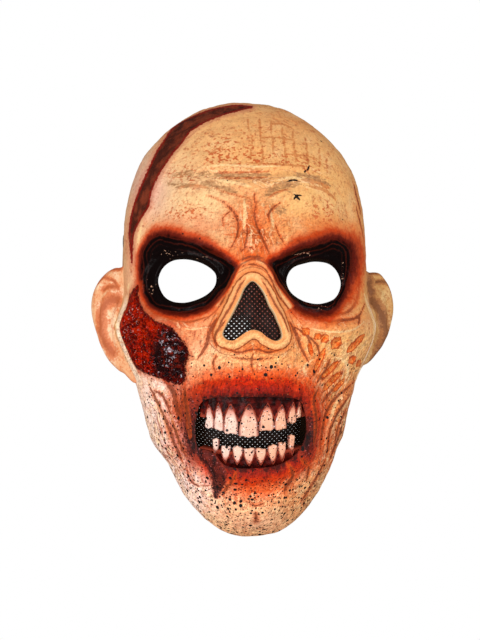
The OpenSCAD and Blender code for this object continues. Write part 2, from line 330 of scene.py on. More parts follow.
gashLoop = [
    (5, 107), (-4, 108.5), (-16, 107), (-26, 104), (-38, 99), (-45, 94), (-51, 85), (-56, 77),
    (-61, 66), (-65, 57), (-68.5, 48), (-71, 38), (-72, 28), (-70.5, 10), (-69.8, 18), (-69, 28),
    (-65, 37), (-60.5, 44), (-59, 52), (-56, 60), (-52, 67), (-46, 76), (-40, 83), (-35, 90), (-26, 96),
    (-14, 101), (-4, 104)]
wallTable = [
    (-155, 46), (-120, 36), (-60, 25), (0, 22), (60, 16), (111, 6)]
drawIn = [
    (0, 0), (78, 0), (97, 0.05), (112, 0.02), (140, 0.02), (180, 0.06)]

# x, z, reach across, reach up, height
relief = [
    (-31, 20, 24, 9, 6), (31, 20, 24, 9, 6), (0, 18, 14, 10, 4), (-39, 0, 23, 17, -16),
    (39, 0, 23, 17, -16), (0, -24, 20, 24, 9), (-55, -28, 16, 14, 7), (55, -28, 16, 14, 7),
    (0, -86, 34, 30, 11), (0, -142, 22, 13, 14), (0, -124, 20, 8, -3), (-52, -70, 14, 18, -5),
    (52, -70, 14, 18, -5), (-62, 38, 12, 20, -4), (62, 38, 12, 20, -4)]


def polarOf(p):
    mx, mz = faceSet['middle']
    ang = np.degrees(np.arctan2(p[:, 0] - mx, p[:, 1] - mz))
    return ang, np.hypot(p[:, 0] - mx, p[:, 1] - mz)


def tableOf(p):  # radius against angle, in order
    a, r = polarOf(p)
    order = np.argsort(a)
    return a[order], r[order]


def hermite(table, ang):
    a, r = table
    aa = np.concatenate([a - 360, a, a + 360])
    rr = np.tile(r, 3)
    keep = np.concatenate([[True], np.diff(aa) > 1e-6])
    aa = aa[keep]
    rr = rr[keep]
    m = np.gradient(rr, aa)
    i = np.clip(np.searchsorted(aa, ang, side='right') - 1, 0, len(aa) - 2)
    h = aa[i + 1] - aa[i]
    t = (ang - aa[i]) / h
    return ((2 * t ** 3 - 3 * t ** 2 + 1) * rr[i] + (t ** 3 - 2 * t ** 2 + t) * h * m[i]
            + (3 * t ** 2 - 2 * t ** 3) * rr[i + 1] + (t ** 3 - t ** 2) * h * m[i + 1])


outlineTable = tableOf(np.array(halfOutline + [(-x, z) for x, z in halfOutline[-2:0:-1]], float))
eyeLeftLine, eyeRightLine, mouthLine, noseLine = (curve(p, 4, True)
                                                  for p in (eyeLeft, eyeRight, mouthLoop, noseLoop))
noseTable = tableOf(noseLine)
sockLeftLine, sockRightLine, woundLine, gashLine = (curve(p, 3, True)
                                                    for p in (sockLeft, sockRight, woundLoop, gashLoop))


def wallAt(ang):
    z = faceSet['middle'][1] + np.cos(np.radians(ang)) * hermite(outlineTable, ang)
    zs = [q[0] for q in wallTable]
    return np.interp(z, zs, [q[1] for q in wallTable])


def baseDepth(p):
    ang, rad = polarOf(p)
    r = np.clip(rad / hermite(outlineTable, ang), 0, 1)
    w = wallAt(ang)
    d = w + (faceSet['depth'] - w) * (1 - r ** faceSet['power']) ** (1 / faceSet['roundness'])
    fade = np.clip((1 - r) * 6, 0, 1)
    for cx, cz, sx, sz, h in relief:
        d = d + fade * h * spot(p, cx, cz, sx, sz)
    return d, fade


# points, width, height: the modelled wrinkles, rims and folds
wrinkles = [
    ([(-44, 61), (-25, 64), (-9, 62), (10, 63), (25, 65), (40, 61)], 2.2, -1.5),
    ([(-36, 66), (-20, 68), (0, 67), (20, 68), (34, 66)], 4.0, 0.8),
    ([(-38, 56), (-20, 59), (-6, 56), (8, 56), (22, 60), (36, 56)], 3.0, 1.2),
    ([(-27, 57), (-16, 54), (-7, 51), (1, 49)], 1.8, -1.4),
    ([(7, 50), (12, 53), (20, 55), (29, 57)], 1.8, -1.4),
    ([(1, 48), (1, 40), (2, 32), (4, 24)], 1.8, -1.8), ([(-7, 47), (-6, 38), (-7, 28)], 4.0, 1.8),
    ([(9, 46), (9, 37), (9, 28)], 4.0, 1.8),
    ([(-21, 47), (-13, 42), (-9, 34), (-10, 26), (-13, 19)], 1.8, -1.6),
    ([(14, 44), (12, 38), (14, 30), (16, 22)], 1.8, -1.4),
    ([(-2, 12), (-7, 10), (-11, 7), (-14, 2), (-16, -4), (-21, -11), (-26, -17), (-33, -23)], 3.0, 2.4),
    ([(-2, 12), (4, 10), (9, 5), (12, 0), (15, -7), (20, -13), (27, -21), (36, -29)], 3.0, 2.4),
    ([(-14, 10), (-19, 3), (-22, -5), (-27, -12)], 2.2, -1.2),
    ([(13, 9), (17, 2), (20, -4), (24, -9)], 2.2, -1.2),
    ([(-22, -22), (-25, -30), (-27, -38), (-30, -46)], 2.6, -1.5),
    ([(20, -22), (24, -31), (27, -40), (30, -47)], 2.6, -1.5),
    ([(-33, -60), (-20, -57), (0, -56), (18, -57), (32, -61)], 2.2, -1.0),
    ([(-37, -68), (-38, -80), (-38, -92), (-36, -102)], 3.2, 2.0),
    ([(36, -68), (38, -80), (38, -92), (36, -104)], 3.2, 2.0),
    ([(-31, -112), (-20, -119), (0, -121), (18, -119), (29, -112)], 4.0, 2.4),
    ([(-26, -124), (-12, -128), (4, -128), (20, -124)], 2.6, -1.8),
    ([(-53, -60), (-47, -69), (-44, -77), (-42, -85)], 2.2, -2.8),
    ([(-52, -79), (-48, -90), (-45, -99), (-41, -108)], 2.2, -2.4),
    ([(-56, -72), (-52, -84), (-50, -96)], 2.6, 2.0), ([(-47, -81), (-43, -93), (-40, -105)], 2.2, 1.8),
    ([(67, -60), (56, -68), (46, -77), (42, -90), (42, -102)], 2.2, -2.8),
    ([(70, -66), (60, -73), (51, -82), (47, -94)], 2.6, 2.2),
    ([(62, -72), (55, -82), (51, -94), (49, -104)], 1.9, -2.2),
    ([(34, -20), (44, -24), (52, -24), (60, -24), (66, -21), (71, -14)], 1.6, -1.6),
    ([(44, -19), (54, -20), (61, -17), (66, -10)], 1.5, -1.3),
    ([(33, -24), (46, -28), (60, -28), (71, -22)], 2.4, 1.4),
    ([(-28, -21), (-38, -24), (-48, -23), (-56, -20)], 1.8, -1.2),
    ([(-60, 30), (-48, 31), (-36, 27), (-24, 21), (-14, 15)], 3.0, 2.2),
    ([(62, 27), (50, 29), (36, 25), (24, 20), (13, 14)], 3.0, 2.2), ([(43, -43), (37, -54)], 1.8, -1.2),
    ([(52, -49), (42, -59)], 1.8, -1.2), ([(54, -56), (43, -67)], 1.8, -1.2),
    ([(69, -33), (59, -42)], 1.8, -1.4), ([(-10, -124), (-12, -132), (-9, -140)], 2.0, -0.9),
    ([(9, -126), (12, -134), (8, -142)], 2.0, -0.9)]
pits = [
    ([(29.5, -29.5), (32.5, -32)], 1.9), ([(37, -32.5), (39, -35)], 1.7),
    ([(41, -36.5), (44, -33.5)], 2.1), ([(48, -40.5), (52, -35)], 2.5),
    ([(58, -43), (63, -38.5), (69, -33)], 1.7), ([(60, -49.5), (64, -46.5)], 1.9),
    ([(66, -52), (68.5, -48.5)], 1.4), ([(37, -54), (40, -48), (43, -41)], 1.3),
    ([(42, -58), (47, -54), (52, -49)], 1.4), ([(43, -66), (48, -61), (54, -56)], 1.5),
    ([(50, -67), (57, -60)], 1.2), ([(33, -38), (35, -45)], 1.1)]


def torn(p, early):  # how deep the raw cheek and the gash are sunk
    w = within(p, woundLine) + early
    g = within(p, gashLine) + early
    return 2.4 * ramp(w, -0.5, 3.5) + 2.2 * ramp(g, -0.4, 2.0)


def fineRelief(p, fade):
    out = ridges(p, wrinkles)
    out += ridges(p, [(points, w * 1.5, 0.9) for points, w in pits])
    out += ridges(p, [(points, w * 0.8, -2.2) for points, w in pits])
    nose = -within(p, noseLine)
    out += 2.4 * np.exp(-((nose - 3.0) / 2.2) ** 2)  # rim round the nose opening
    for line in (eyeLeftLine, eyeRightLine):
        e = -within(p, line)
        out += 1.5 * np.exp(-((e - 2.2) / 1.6) ** 2)  # lid rims
        out -= 1.0 * np.exp(-((e - 6.0) / 1.8) ** 2)
        out += 0.8 * np.exp(-((e - 9.5) / 1.6) ** 2)
    m = -within(p, mouthLine)
    lip = np.exp(-((m - 5.0) / 4.0) ** 2)
    out += 3.0 * lip
    out += 0.55 * lip * np.sin(p[:, 0] * 1.25 + 0.8 * np.sin(p[:, 0] * 0.37))  # lip creases
    out = np.maximum(out, -1.5)
    w = within(p, woundLine)
    g = within(p, gashLine)
    out += 1.6 * np.exp(-((w + 1.6) / 1.8) ** 2) + 1.3 * np.exp(-((g + 1.6) / 1.5) ** 2)
    return (out - torn(p, 0)) * fade


def ringPoints(around, rings, curveIn=1.5):
    ang = np.arange(around) * 360 / around - 180
    n = hermite(noseTable, ang)
    r = hermite(outlineTable, ang)
    t = np.linspace(0, 1, rings + 1)
    s = 1 - (1 - t) ** curveIn
    rad = n[None, :] + (r - n)[None, :] * s[:, None]
    mx, mz = faceSet['middle']
    x = mx + rad * np.sin(np.radians(ang))
    z = mz + rad * np.cos(np.radians(ang))
    return ang, np.stack([x, z], -1)


def wallPoints(ang, steps):
    w = wallAt(ang)
    r = hermite(outlineTable, ang)
    mx, mz = faceSet['middle']
    cut = np.interp(np.abs(ang), [q[0] for q in drawIn], [q[1] for q in drawIn])
    out = []
    for k in range(1, steps + 1):
        s = k / steps
        rr = r * (1 - cut * s * s)
        out.append(np.stack([mx + rr * np.sin(np.radians(ang)), -w * (1 - s),
                             mz + rr * np.cos(np.radians(ang))], -1))
    return np.array(out)


def normalsOf(grid):
    du = np.roll(grid, -1, 1) - np.roll(grid, 1, 1)
    dv = np.empty_like(grid)
    dv[1:-1] = grid[2:] - grid[:-2]
    dv[0] = grid[1] - grid[0]
    dv[-1] = grid[-1] - grid[-2]
    n = np.cross(du, dv)
    return n / np.maximum(np.linalg.norm(n, axis=-1, keepdims=True), 1e-9)


print('face: form')
ang, flat = ringPoints(faceSet['around'], faceSet['rings'])
p2 = flat.reshape(-1, 2)
d, fade = baseDepth(p2)
d = d + fineRelief(p2, fade)
grid = np.stack([p2[:, 0], -d, p2[:, 1]], -1).reshape(flat.shape[0], flat.shape[1], 3)
grid = np.concatenate([grid, wallPoints(ang, faceSet['wallRings'])], 0)
n = normalsOf(grid)
flatGrid = grid.reshape(-1, 3)
bumps = noiseAt(flatGrid, 14, 3) * 0.55 + noiseAt(flatGrid, 4.5, 2, 7.0) * 0.22
inWound = ramp(within(flatGrid[:, [0, 2]], woundLine), 0.5, 3.0)
inGash = ramp(within(flatGrid[:, [0, 2]], gashLine), 0.2, 1.5)
gore = noiseAt(flatGrid, 3.2, 3, 21.0)
bumps = np.maximum(bumps, -0.6) + inGash * np.maximum(gore, -0.4)
bumps += inWound * (np.maximum(gore * 2.2, -1.0) + 0.5)
bumps = bumps.reshape(grid.shape[:2])
rim = np.ones(grid.shape[0])
rim[-4:] = [0.7, 0.4, 0.1, 0.0]  # the cut edge stays flat
grid = grid + n * (bumps * rim[:, None])[..., None]

angIn, flatIn = ringPoints(faceSet['innerAround'], faceSet['innerRings'])
q2 = flatIn.reshape(-1, 2)
dIn, fadeIn = baseDepth(q2)
dIn = dIn - torn(q2, 2.0) * fadeIn  # the back follows the sunk parts
inner = np.stack([q2[:, 0], -dIn, q2[:, 1]], -1).reshape(flatIn.shape[0], flatIn.shape[1], 3)
inner = np.concatenate([inner, wallPoints(angIn, faceSet['innerWall'])], 0)
nIn = normalsOf(inner)
inner = inner - nIn * faceSet['skin']
inner[-1, :, 1] = 0.0

around, inAround = faceSet['around'], faceSet['innerAround']
rows, inRows = grid.shape[0], inner.shape[0]
verts = np.concatenate([grid.reshape(-1, 3), inner.reshape(-1, 3)], 0)
base = rows * around
faces = []
for j in range(rows - 1):
    a = j * around
    b = a + around
    for i in range(around):
        k = (i + 1) % around
        faces.append((a + i, b + i, b + k, a + k))
outerFaces = len(faces)
for j in range(inRows - 1):
    a = base + j * inAround
    b = a + inAround
    for i in range(inAround):
        k = (i + 1) % inAround
        faces.append((a + i, a + k, b + k, b + i))
per = around // inAround
noseEdge = (0, base, False)
backRim = ((rows - 1) * around, base + (inRows - 1) * inAround, True)
for i in range(inAround):  # close the skin at both
    k = (i + 1) % inAround
    for first, second, flip in (noseEdge, backRim):
        fine = [first + (i * per + s) % around for s in range(per + 1)]
        half = per // 2
        fan = [(second + i, fine[s], fine[s + 1]) for s in range(half)]
        fan.append((second + i, fine[half], second + k))
        fan += [(second + k, fine[s], fine[s + 1]) for s in range(half, per)]
        for f in fan:
            faces.append(f[::-1] if flip else f)
chinShift = 2.0  # the chin sits a little to the right
verts[:, 0] += chinShift * ramp(-verts[:, 2], 101, 112)
face = makeObject('maskFace', verts / 1000, faces)
face.data.materials.append(bpy.data.materials.new('outside'))
face.data.materials.append(bpy.data.materials.new('inside'))
which = np.zeros(len(face.data.polygons), np.int32)
which[outerFaces:] = 1
face.data.polygons.foreach_set('material_index', which)
print('face: faces', len(faces))


def cutter(name, line, low, high):
    bm = bmesh.new()
    a = [bm.verts.new((x / 1000, low, z / 1000)) for x, z in line]
    b = [bm.verts.new((x / 1000, high, z / 1000)) for x, z in line]
    bm.faces.new(a)
    bm.faces.new(b[::-1])
    for i in range(len(a)):
        k = (i + 1) % len(a)
        bm.faces.new((a[k], a[i], b[i], b[k]))
    return fromBmesh(name, bm, False)


print('face: openings')
for name, line in (('cutLeft', eyeLeftLine), ('cutRight', eyeRightLine), ('cutMouth', mouthLine)):
    tool = cutter(name, line, -0.15, -0.03)  # metres, through the front alone
    mod = face.modifiers.new(name, 'BOOLEAN')
    mod.operation = 'DIFFERENCE'
    mod.solver = 'EXACT'
    mod.object = tool
    bpy.context.view_layer.objects.active = face
    bpy.ops.object.modifier_apply(modifier=name)
    bpy.data.objects.remove(tool)
print('face: polygons', len(face.data.polygons))
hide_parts('face_shell')
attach(face, 'mask')

print('face: paint fields')
count = len(face.data.vertices)
co = np.empty(count * 3)
face.data.vertices.foreach_get('co', co)
co = co.reshape(-1, 3) * 1000
pf = co[:, [0, 2]]
px = pf[:, 0]
pz = pf[:, 1]
low = -pz
wide = np.abs(px)

skinBase = (232, 174, 116)
# x, z, reach across, reach up, colour, strength: airbrushed areas, laid in order; the pale pink ones on
# the left jaw and chin carry painted highlight as well as pink paint
airbrushAndHighlights = [
    (-45, 52, 32, 34, (228, 190, 146), 0.85), (-62, 60, 12, 26, (238, 198, 172), 0.7),
    (48, 45, 30, 50, (230, 174, 108), 0.7), (8, 92, 45, 18, (230, 170, 110), 0.6),
    (0, 72, 45, 14, (233, 172, 108), 0.6), (66, 30, 8, 40, (224, 154, 92), 0.6),
    (40, 100, 26, 10, (222, 146, 84), 0.5), (-30, 46, 14, 9, (238, 196, 138), 0.7),
    (30, 46, 16, 8, (236, 184, 120), 0.6), (0, 28, 15, 22, (208, 94, 42), 0.88),
    (0, 14, 16, 9, (214, 96, 46), 0.9), (-38, 32, 27, 8, (224, 138, 98), 0.7),
    (40, 31, 28, 8, (222, 122, 66), 0.75), (-68, 2, 8, 20, (232, 168, 134), 0.8),
    (68, 0, 6, 26, (226, 160, 88), 0.7), (42, -25, 27, 6, (226, 98, 46), 0.9),
    (-36, -26, 24, 6, (230, 130, 82), 0.8), (60, -50, 22, 24, (236, 178, 108), 0.7),
    (32, -46, 12, 16, (230, 152, 88), 0.6), (-28, -42, 13, 14, (246, 192, 150), 0.85),
    (-24, -16, 6, 14, (232, 134, 80), 0.6), (23, -16, 7, 14, (240, 156, 98), 0.8),
    (0, -41, 20, 4.5, (208, 84, 30), 0.9), (37, -57, 8, 13, (212, 88, 40), 0.6),
    (40, -82, 5, 20, (206, 96, 50), 0.5), (-48, -82, 5, 22, (240, 188, 164), 0.6),
    (-52, -23, 15, 6, (198, 54, 28), 0.95), (-64, -10, 5, 10, (206, 86, 52), 0.8),
    (-36, -33, 7, 8, (214, 110, 66), 0.7), (0, -48, 24, 6, (238, 176, 110), 0.7),
    (0, -56, 34, 8, (224, 108, 58), 0.75), (-57, -76, 16, 28, (255, 222, 206), 1.0),
    (54, -84, 12, 26, (218, 122, 68), 0.7), (44, -98, 8, 18, (206, 104, 54), 0.7),
    (64, -76, 7, 20, (212, 112, 60), 0.75), (52, -106, 8, 14, (208, 104, 56), 0.7),
    (-44, -94, 7, 16, (244, 198, 184), 0.8), (0, -123, 28, 11, (246, 126, 80), 0.95),
    (-36, -126, 18, 22, (255, 222, 208), 1.0), (0, -145, 26, 12, (250, 188, 150), 0.8),
    (30, -134, 10, 14, (224, 146, 92), 0.6), (-50, -108, 12, 20, (255, 224, 210), 1.0),
    (0, -154, 24, 5, (238, 170, 120), 0.6)]

# points and width of each brown stroke
brownStrokes = [
    ([(-20, 60.6), (-6, 60.3), (10, 61)], 0.55), ([(-24, 64.2), (-9, 64), (12, 64.6)], 0.5),
    ([(-24, 54.8), (-16, 51.8), (-8, 49.4), (-1, 48)], 0.5), ([(9, 48), (14, 51.5), (22, 54)], 0.5),
    ([(1, 51), (1.5, 44), (1, 38), (2, 32), (4, 26), (7, 19), (10, 13)], 1.3),
    ([(-27, 50), (-20, 47.5), (-13, 42), (-9.5, 36), (-9, 30), (-11, 23), (-16, 15)], 1.1),
    ([(17, 46), (11.5, 42), (9, 38), (9.5, 33)], 1.1), ([(13, 33), (15, 26), (19, 19)], 0.8),
    ([(-4, 33), (-4, 26), (-6, 19)], 1.0), ([(-14, 40), (-18, 36), (-17, 31)], 0.7),
    ([(-8, 16), (-4, 19), (0, 17)], 0.6), ([(0, 20), (3, 18), (6, 20)], 0.6),
    ([(-14, 11), (-18, 4), (-20, -5), (-26, -13), (-34, -20)], 1.5),
    ([(10, 11), (14, 5), (18, -3), (24, -11), (32, -19)], 1.5),
    ([(-11, 9), (-6, 12), (-1, 13), (5, 12), (9, 9)], 1.2),
    ([(-12, 4), (-6, 8), (0, 8.5), (6, 6), (10, 0), (14, -9), (21, -18), (28, -26)], 0.8),
    ([(-13, 0), (-17, -10), (-22, -18), (-30, -25)], 0.8),
    ([(-5, 1), (-9, -5), (-13, -14), (-19, -24), (-22, -31)], 0.9),
    ([(4, 0), (8, -7), (12, -15), (17, -23), (20, -31)], 0.9),
    ([(-22, -23), (-26, -31), (-28, -39), (-33, -47)], 1.6),
    ([(-17, -24), (-23, -33), (-22, -40)], 1.0), ([(21, -25), (25, -32), (28, -40), (33, -49)], 1.4),
    ([(24, -28), (32, -34), (35, -43)], 0.9),
    ([(-18, -40), (-10, -43), (0, -41), (8, -43), (16, -41)], 0.9),
    ([(-14, -46), (0, -47), (12, -46)], 0.8), ([(-1, -43), (-2, -50), (0, -56)], 0.8),
    ([(-22, -44), (-24, -50), (-22, -56)], 0.8),
    ([(33, -19.5), (44, -24), (52, -24), (60, -23.5), (66, -21), (71, -14)], 1.3),
    ([(44, -19), (54, -20), (61, -17), (66, -10), (67, -2)], 1.2), ([(66, -21), (64, -27)], 0.9),
    ([(60, 20), (66, 8), (67, -4), (64, -14)], 1.0),
    ([(-27, -22), (-38, -25), (-48, -23.5), (-55, -20)], 1.0),
    ([(28, -28), (33, -34), (38, -39), (40, -46)], 1.0), ([(43, -42), (39, -50), (36, -57)], 1.6),
    ([(47, -47), (43, -55), (38, -62)], 1.2), ([(54, -48), (47, -54), (42, -60)], 1.5),
    ([(56, -55), (49, -60), (43, -67)], 1.6), ([(57, -60), (48, -67), (42, -74)], 1.2),
    ([(66, -61), (56, -68), (47, -76), (43, -88), (42, -102)], 1.3),
    ([(62, -70), (54, -79), (48, -90), (47, -104)], 1.2), ([(60, -78), (54, -88), (52, -100)], 1.0),
    ([(57, -88), (53, -100), (49, -110)], 1.4), ([(40, -64), (36, -72), (38, -84), (37, -98)], 1.3),
    ([(-52, -59), (-47, -66), (-45, -74), (-43, -84)], 2.2),
    ([(-60, -64), (-55, -74), (-50, -86), (-46, -98)], 1.1),
    ([(-53, -78), (-49, -88), (-45, -99), (-41, -108)], 1.4),
    ([(-47, -84), (-43, -96), (-39, -105)], 1.0),
    ([(-40, -62), (-40, -72), (-38, -84), (-37, -94)], 1.2),
    ([(-38, -112), (-36, -120), (-30, -124)], 0.8), ([(-10, -114), (-14, -122), (-19, -130)], 1.2),
    ([(20, -108), (24, -116), (20, -124), (21, -131)], 1.4),
    ([(28, -106), (34, -112), (33, -120)], 1.2), ([(-3, -132), (2, -134), (8, -132)], 0.8),
    ([(2, -138), (3, -146)], 1.6), ([(46, -108), (38, -122), (30, -134)], 1.0),
    ([(70, 40), (67, 52), (66, 60)], 0.9), ([(66, 46), (69, 34), (72, 24)], 0.7),
    ([(-58, -66), (-52, -70), (-48, -80)], 1.0), ([(-60, -34), (-57, -46), (-52, -56)], 0.6)]
# grey-brown patches in the creases of the brow
duskStrokes = [
    ([(-22, 62.6), (-8, 62), (11, 62.8)], 2.6), ([(-46, 62), (-34, 64), (-24, 63)], 2.0),
    ([(-30, 57.6), (-20, 55.4), (-10, 51.6)], 2.8),
    ([(8, 49.8), (13, 53.4), (21, 56.4), (29, 58.4)], 3.0), ([(26, 63), (36, 62), (48, 57)], 1.6),
    ([(12, 44), (16, 40), (20, 41)], 1.8), ([(-50, 58), (-42, 56), (-34, 57)], 1.6)]
faintStrokes = [
    ([(0, 98), (1, 84), (0, 72)], 0.75), ([(7, 99), (7, 82), (7, 70)], 0.75),
    ([(14, 98), (14, 82), (14, 73)], 0.8), ([(20, 97), (21, 82), (21, 68)], 0.8),
    ([(27, 95), (27, 80), (28, 66)], 0.8), ([(35, 88), (35, 76), (35, 66)], 0.75),
    ([(43, 84), (43, 74), (42, 67)], 0.7), ([(48, 76), (47, 70), (47, 64)], 0.6),
    ([(14, 95), (22, 95), (28, 92)], 0.6), ([(-5, 70), (14, 69), (38, 68)], 0.6),
    ([(8, 86), (18, 86), (30, 84)], 0.5), ([(22, 76), (32, 75), (44, 73)], 0.5),
    ([(-24, 76), (-18, 79), (-12, 74)], 0.6), ([(-44, 55), (-34, 56), (-24, 54)], 1.0),
    ([(30, 60), (40, 59), (48, 55)], 1.4), ([(34, 56), (44, 54), (52, 48)], 1.0),
    ([(-6, 22), (-8, 16), (-6, 12)], 0.7), ([(3, 22), (1, 16), (3, 12)], 0.7),
    ([(-1, 24), (-1, 17)], 0.6)]
blackMarks = [
    ([(31, 64), (34, 66), (36, 69)], 0.8), ([(21, 58.5), (25, 59.5), (28, 59)], 0.8),
    ([(25, 51), (27, 49), (29, 47)], 0.9), ([(24, 47), (27, 50), (30, 50)], 0.8),
    ([(55, 37), (57, 36)], 0.6)]
# painted highlights: pale strokes along the raised ridges, points and width
ridgeHighlights = [
    ([(-2, 3.5), (-7, 0), (-11, -8), (-15, -17), (-20, -26), (-23, -33)], 1.8),
    ([(0, 3.5), (6, 0), (10, -9), (14, -17), (19, -26), (20, -34)], 1.8),
    ([(-20, -38), (-12, -40), (-6, -36), (0, -34), (6, -36), (12, -40), (20, -37)], 1.8),
    ([(-2, 10.5), (-9, 8), (-13, 1), (-16, -7), (-22, -15), (-30, -22)], 1.4),
    ([(2, 10.5), (9, 7), (12, -1), (16, -9), (22, -17), (31, -25)], 1.4),
    ([(-30, 67), (-16, 68.5), (0, 67.5), (18, 68)], 1.0), ([(-24, 60), (-8, 57), (0, 55)], 1.4),
    ([(14, 59), (24, 61), (34, 60)], 1.2), ([(-5, 47), (-5, 38), (-6, 30)], 1.4),
    ([(10, 44), (11, 36), (12, 30)], 1.2), ([(-64, 40), (-66, 28), (-68, 16)], 1.3),
    ([(71, -8), (75, -18), (78, -28), (76, -40)], 1.6), ([(-72, -2), (-77, -14), (-81, -24)], 1.6),
    ([(69, -66), (60, -74), (52, -84), (48, -96)], 1.4), ([(62, -80), (56, -92), (54, -104)], 1.2),
    ([(40, -72), (42, -82), (40, -98)], 1.2), ([(58, -66), (51, -76), (46, -90), (45, -104)], 1.3),
    ([(65, -76), (58, -88), (55, -100)], 1.1), ([(44, -52), (40, -60), (38, -68)], 1.1),
    ([(52, -56), (45, -64), (41, -74)], 1.0), ([(-57, -70), (-52, -82), (-48, -94)], 1.3),
    ([(-49, -78), (-45, -90), (-42, -100)], 1.1), ([(-14, -112), (-20, -114), (-25, -109)], 0.9),
    ([(16, -110), (21, -116), (17, -124)], 1.0), ([(34, -29), (46, -31), (60, -30), (70, -24)], 0.9),
    ([(-28, -28), (-35, -29.5), (-41, -29)], 0.6), ([(36, -47), (30, -52), (32, -58)], 1.2),
    ([(50, -46), (58, -50), (60, -58)], 1.4)]

# the raised nose, root to wings
ridgeLoop = [
    (0, 12), (-6, 10), (-11, 5.5), (-15, -3), (-21, -12), (-28, -18), (-36, -22), (-30, -34), (0, -42),
    (30, -34), (37, -25), (29, -19), (22, -11), (16, -3), (11.5, 5), (6, 10)]
ridgeLine = curve(ridgeLoop, 3, True)
tint = np.tile(np.array(lin(*skinBase)), (count, 1))
# lay the airbrushed areas, with the painted highlights on the left jaw and chin
for x, z, sx, sz, rgb, strength in airbrushAndHighlights:
    k = strength * np.exp(-np.abs((px - x) / sx) ** 2.4 - np.abs((pz - z) / sz) ** 2.4)
    tint += (np.array(lin(*rgb)) - tint) * k[:, None]
angAt, radAt = polarOf(pf)
edge = radAt / hermite(outlineTable, angAt)  # 1 where the side wall begins
# painted shade: the colour darkens towards the edge of the face, except on the lower left
edgeShade = 0.12 * ramp(edge, 0.9, 1.0) * (1 - ramp(-px, 0, 20) * ramp(low, 30, 50))
tint[:, :3] *= (1 - edgeShade)[:, None]
# painted highlight: a pale band along the front edge of the face, wider on the left
litFrom = np.where(px < 0, 0.958, 0.972)
lit = 0.95 * ramp(edge - litFrom, 0, 0.013) * (1 - ramp(edge, 0.987, 0.994))
lit *= ramp(-co[:, 1], 8, 18) * (1 - ramp(np.abs(pz + 38), 20, 31))
edgeHighlight = lin(252, 226, 198)  # painted highlight along the face's edge, beside the ears
tint += (np.array(edgeHighlight) - tint) * lit[:, None]
putColor(face, 'tint', tint)

brown = brush(pf, brownStrokes) - 0.1 * ramp(pz, 14, 24)
pitMask = brush(pf, [(points, w * 1.5) for points, w in pits])
putAttribute(face, 'pit', pitMask)
faint = brush(pf, faintStrokes)
black = brush(pf, blackMarks)
pale = brush(pf, ridgeHighlights)
onFront = 1 - ramp(edge, 0.965, 0.995)  # brush strokes stop where the side wall begins
brown = np.where(onFront > 0, brown * onFront - 1 + onFront, -1)
pale = np.where(onFront > 0, pale * onFront - 1 + onFront, -1)
putAttribute(face, 'brown', brown)
putAttribute(face, 'faint', faint)
putAttribute(face, 'black', black)
putAttribute(face, 'dusk', brush(pf, duskStrokes))
putAttribute(face, 'noseEdge', np.clip(-within(pf, noseLine), -2, 20))
putAttribute(face, 'pale', pale)
gap = -within(pf, mouthLine)
sockL = within(pf, sockLeftLine)
sockR = within(pf, sockRightLine)
sock = np.where(px < 0, sockL, sockR - 6.5 * ramp(px, 44, 60) * ramp(low, -22, 6))
putAttribute(face, 'sock', np.clip(sock, -30, 12))
upper = ramp(pz, -12, 14)
outer = ramp(wide, 56, 68)
haloLeft = (0.6 + 0.25 * upper) * (1 - 0.45 * outer)
haloRight = (0.95 + 0.1 * upper) * (1 + 0.45 * outer)
haloReach = np.where(px < 0, haloLeft, haloRight)
haloReach *= 1 - 0.35 * (1 - ramp(wide, 14, 26)) * ramp(pz, -16, 4)
putAttribute(face, 'halo', haloReach)
bridge = within(pf, ridgeLine)
putAttribute(face, 'bridge', np.clip(bridge, -12, 20) - 12 * ramp(low, 15, 22))
putAttribute(face, 'bridgeOn', 1 - ramp(low, 11, 15))
putAttribute(face, 'gap', np.clip(gap, -3, 40))
side = wide / 34
lipRed = np.clip(1.15 - 0.25 * side - 0.35 * ramp(low, 110, 124), 0.3, 1.2)
lipRed *= 1 - 0.55 * spot(pf, -42, -100, 9, 22)
putAttribute(face, 'lipRed', lipRed)
# where the painted glints on the lids gather
lidGlints = [
    (-48, 15, 9, 2.2), (-59, -5, 2.4, 7), (30, 15, 8, 2), (56, 6, 2, 8), (-30, 13, 6, 1.5),
    (44, -17, 10, 1.5)]
putAttribute(face, 'glint', sum(spot(pf, *one) for one in lidGlints))
raw = within(pf, woundLine) - 16 * ramp(co[:, 1], -28, -12) - 12 * ramp(edge, 0.957, 0.978)
putAttribute(face, 'wound', np.clip(raw, -12, 12))
# where the painted glints on the raw cheek gather
putAttribute(face, 'shine', spot(pf, -48, -41, 5, 12) + 0.9 * spot(pf, -71, -24, 5, 10))
putAttribute(face, 'woundDark', 1.3 - np.hypot((px + 48) / 12, (pz + 45) / 18))
putAttribute(face, 'gash', np.clip(within(pf, gashLine) - 14 * ramp(co[:, 1], -15, -5), -12, 6))
speck = 0.22 * ramp(low, 34, 52) + 0.75 * ramp(low, 104, 134)
speck += 0.35 * ramp(low, 60, 95) * ramp(wide, 20, 40)
speck = speck * (1 - 0.3 * ramp(px, 10, 50)) + 0.25 * spot(pf, -52, -95, 14, 26)
speck = 1.6 * speck + 0.006
putAttribute(face, 'speck', np.clip(speck, 0, 1.5))
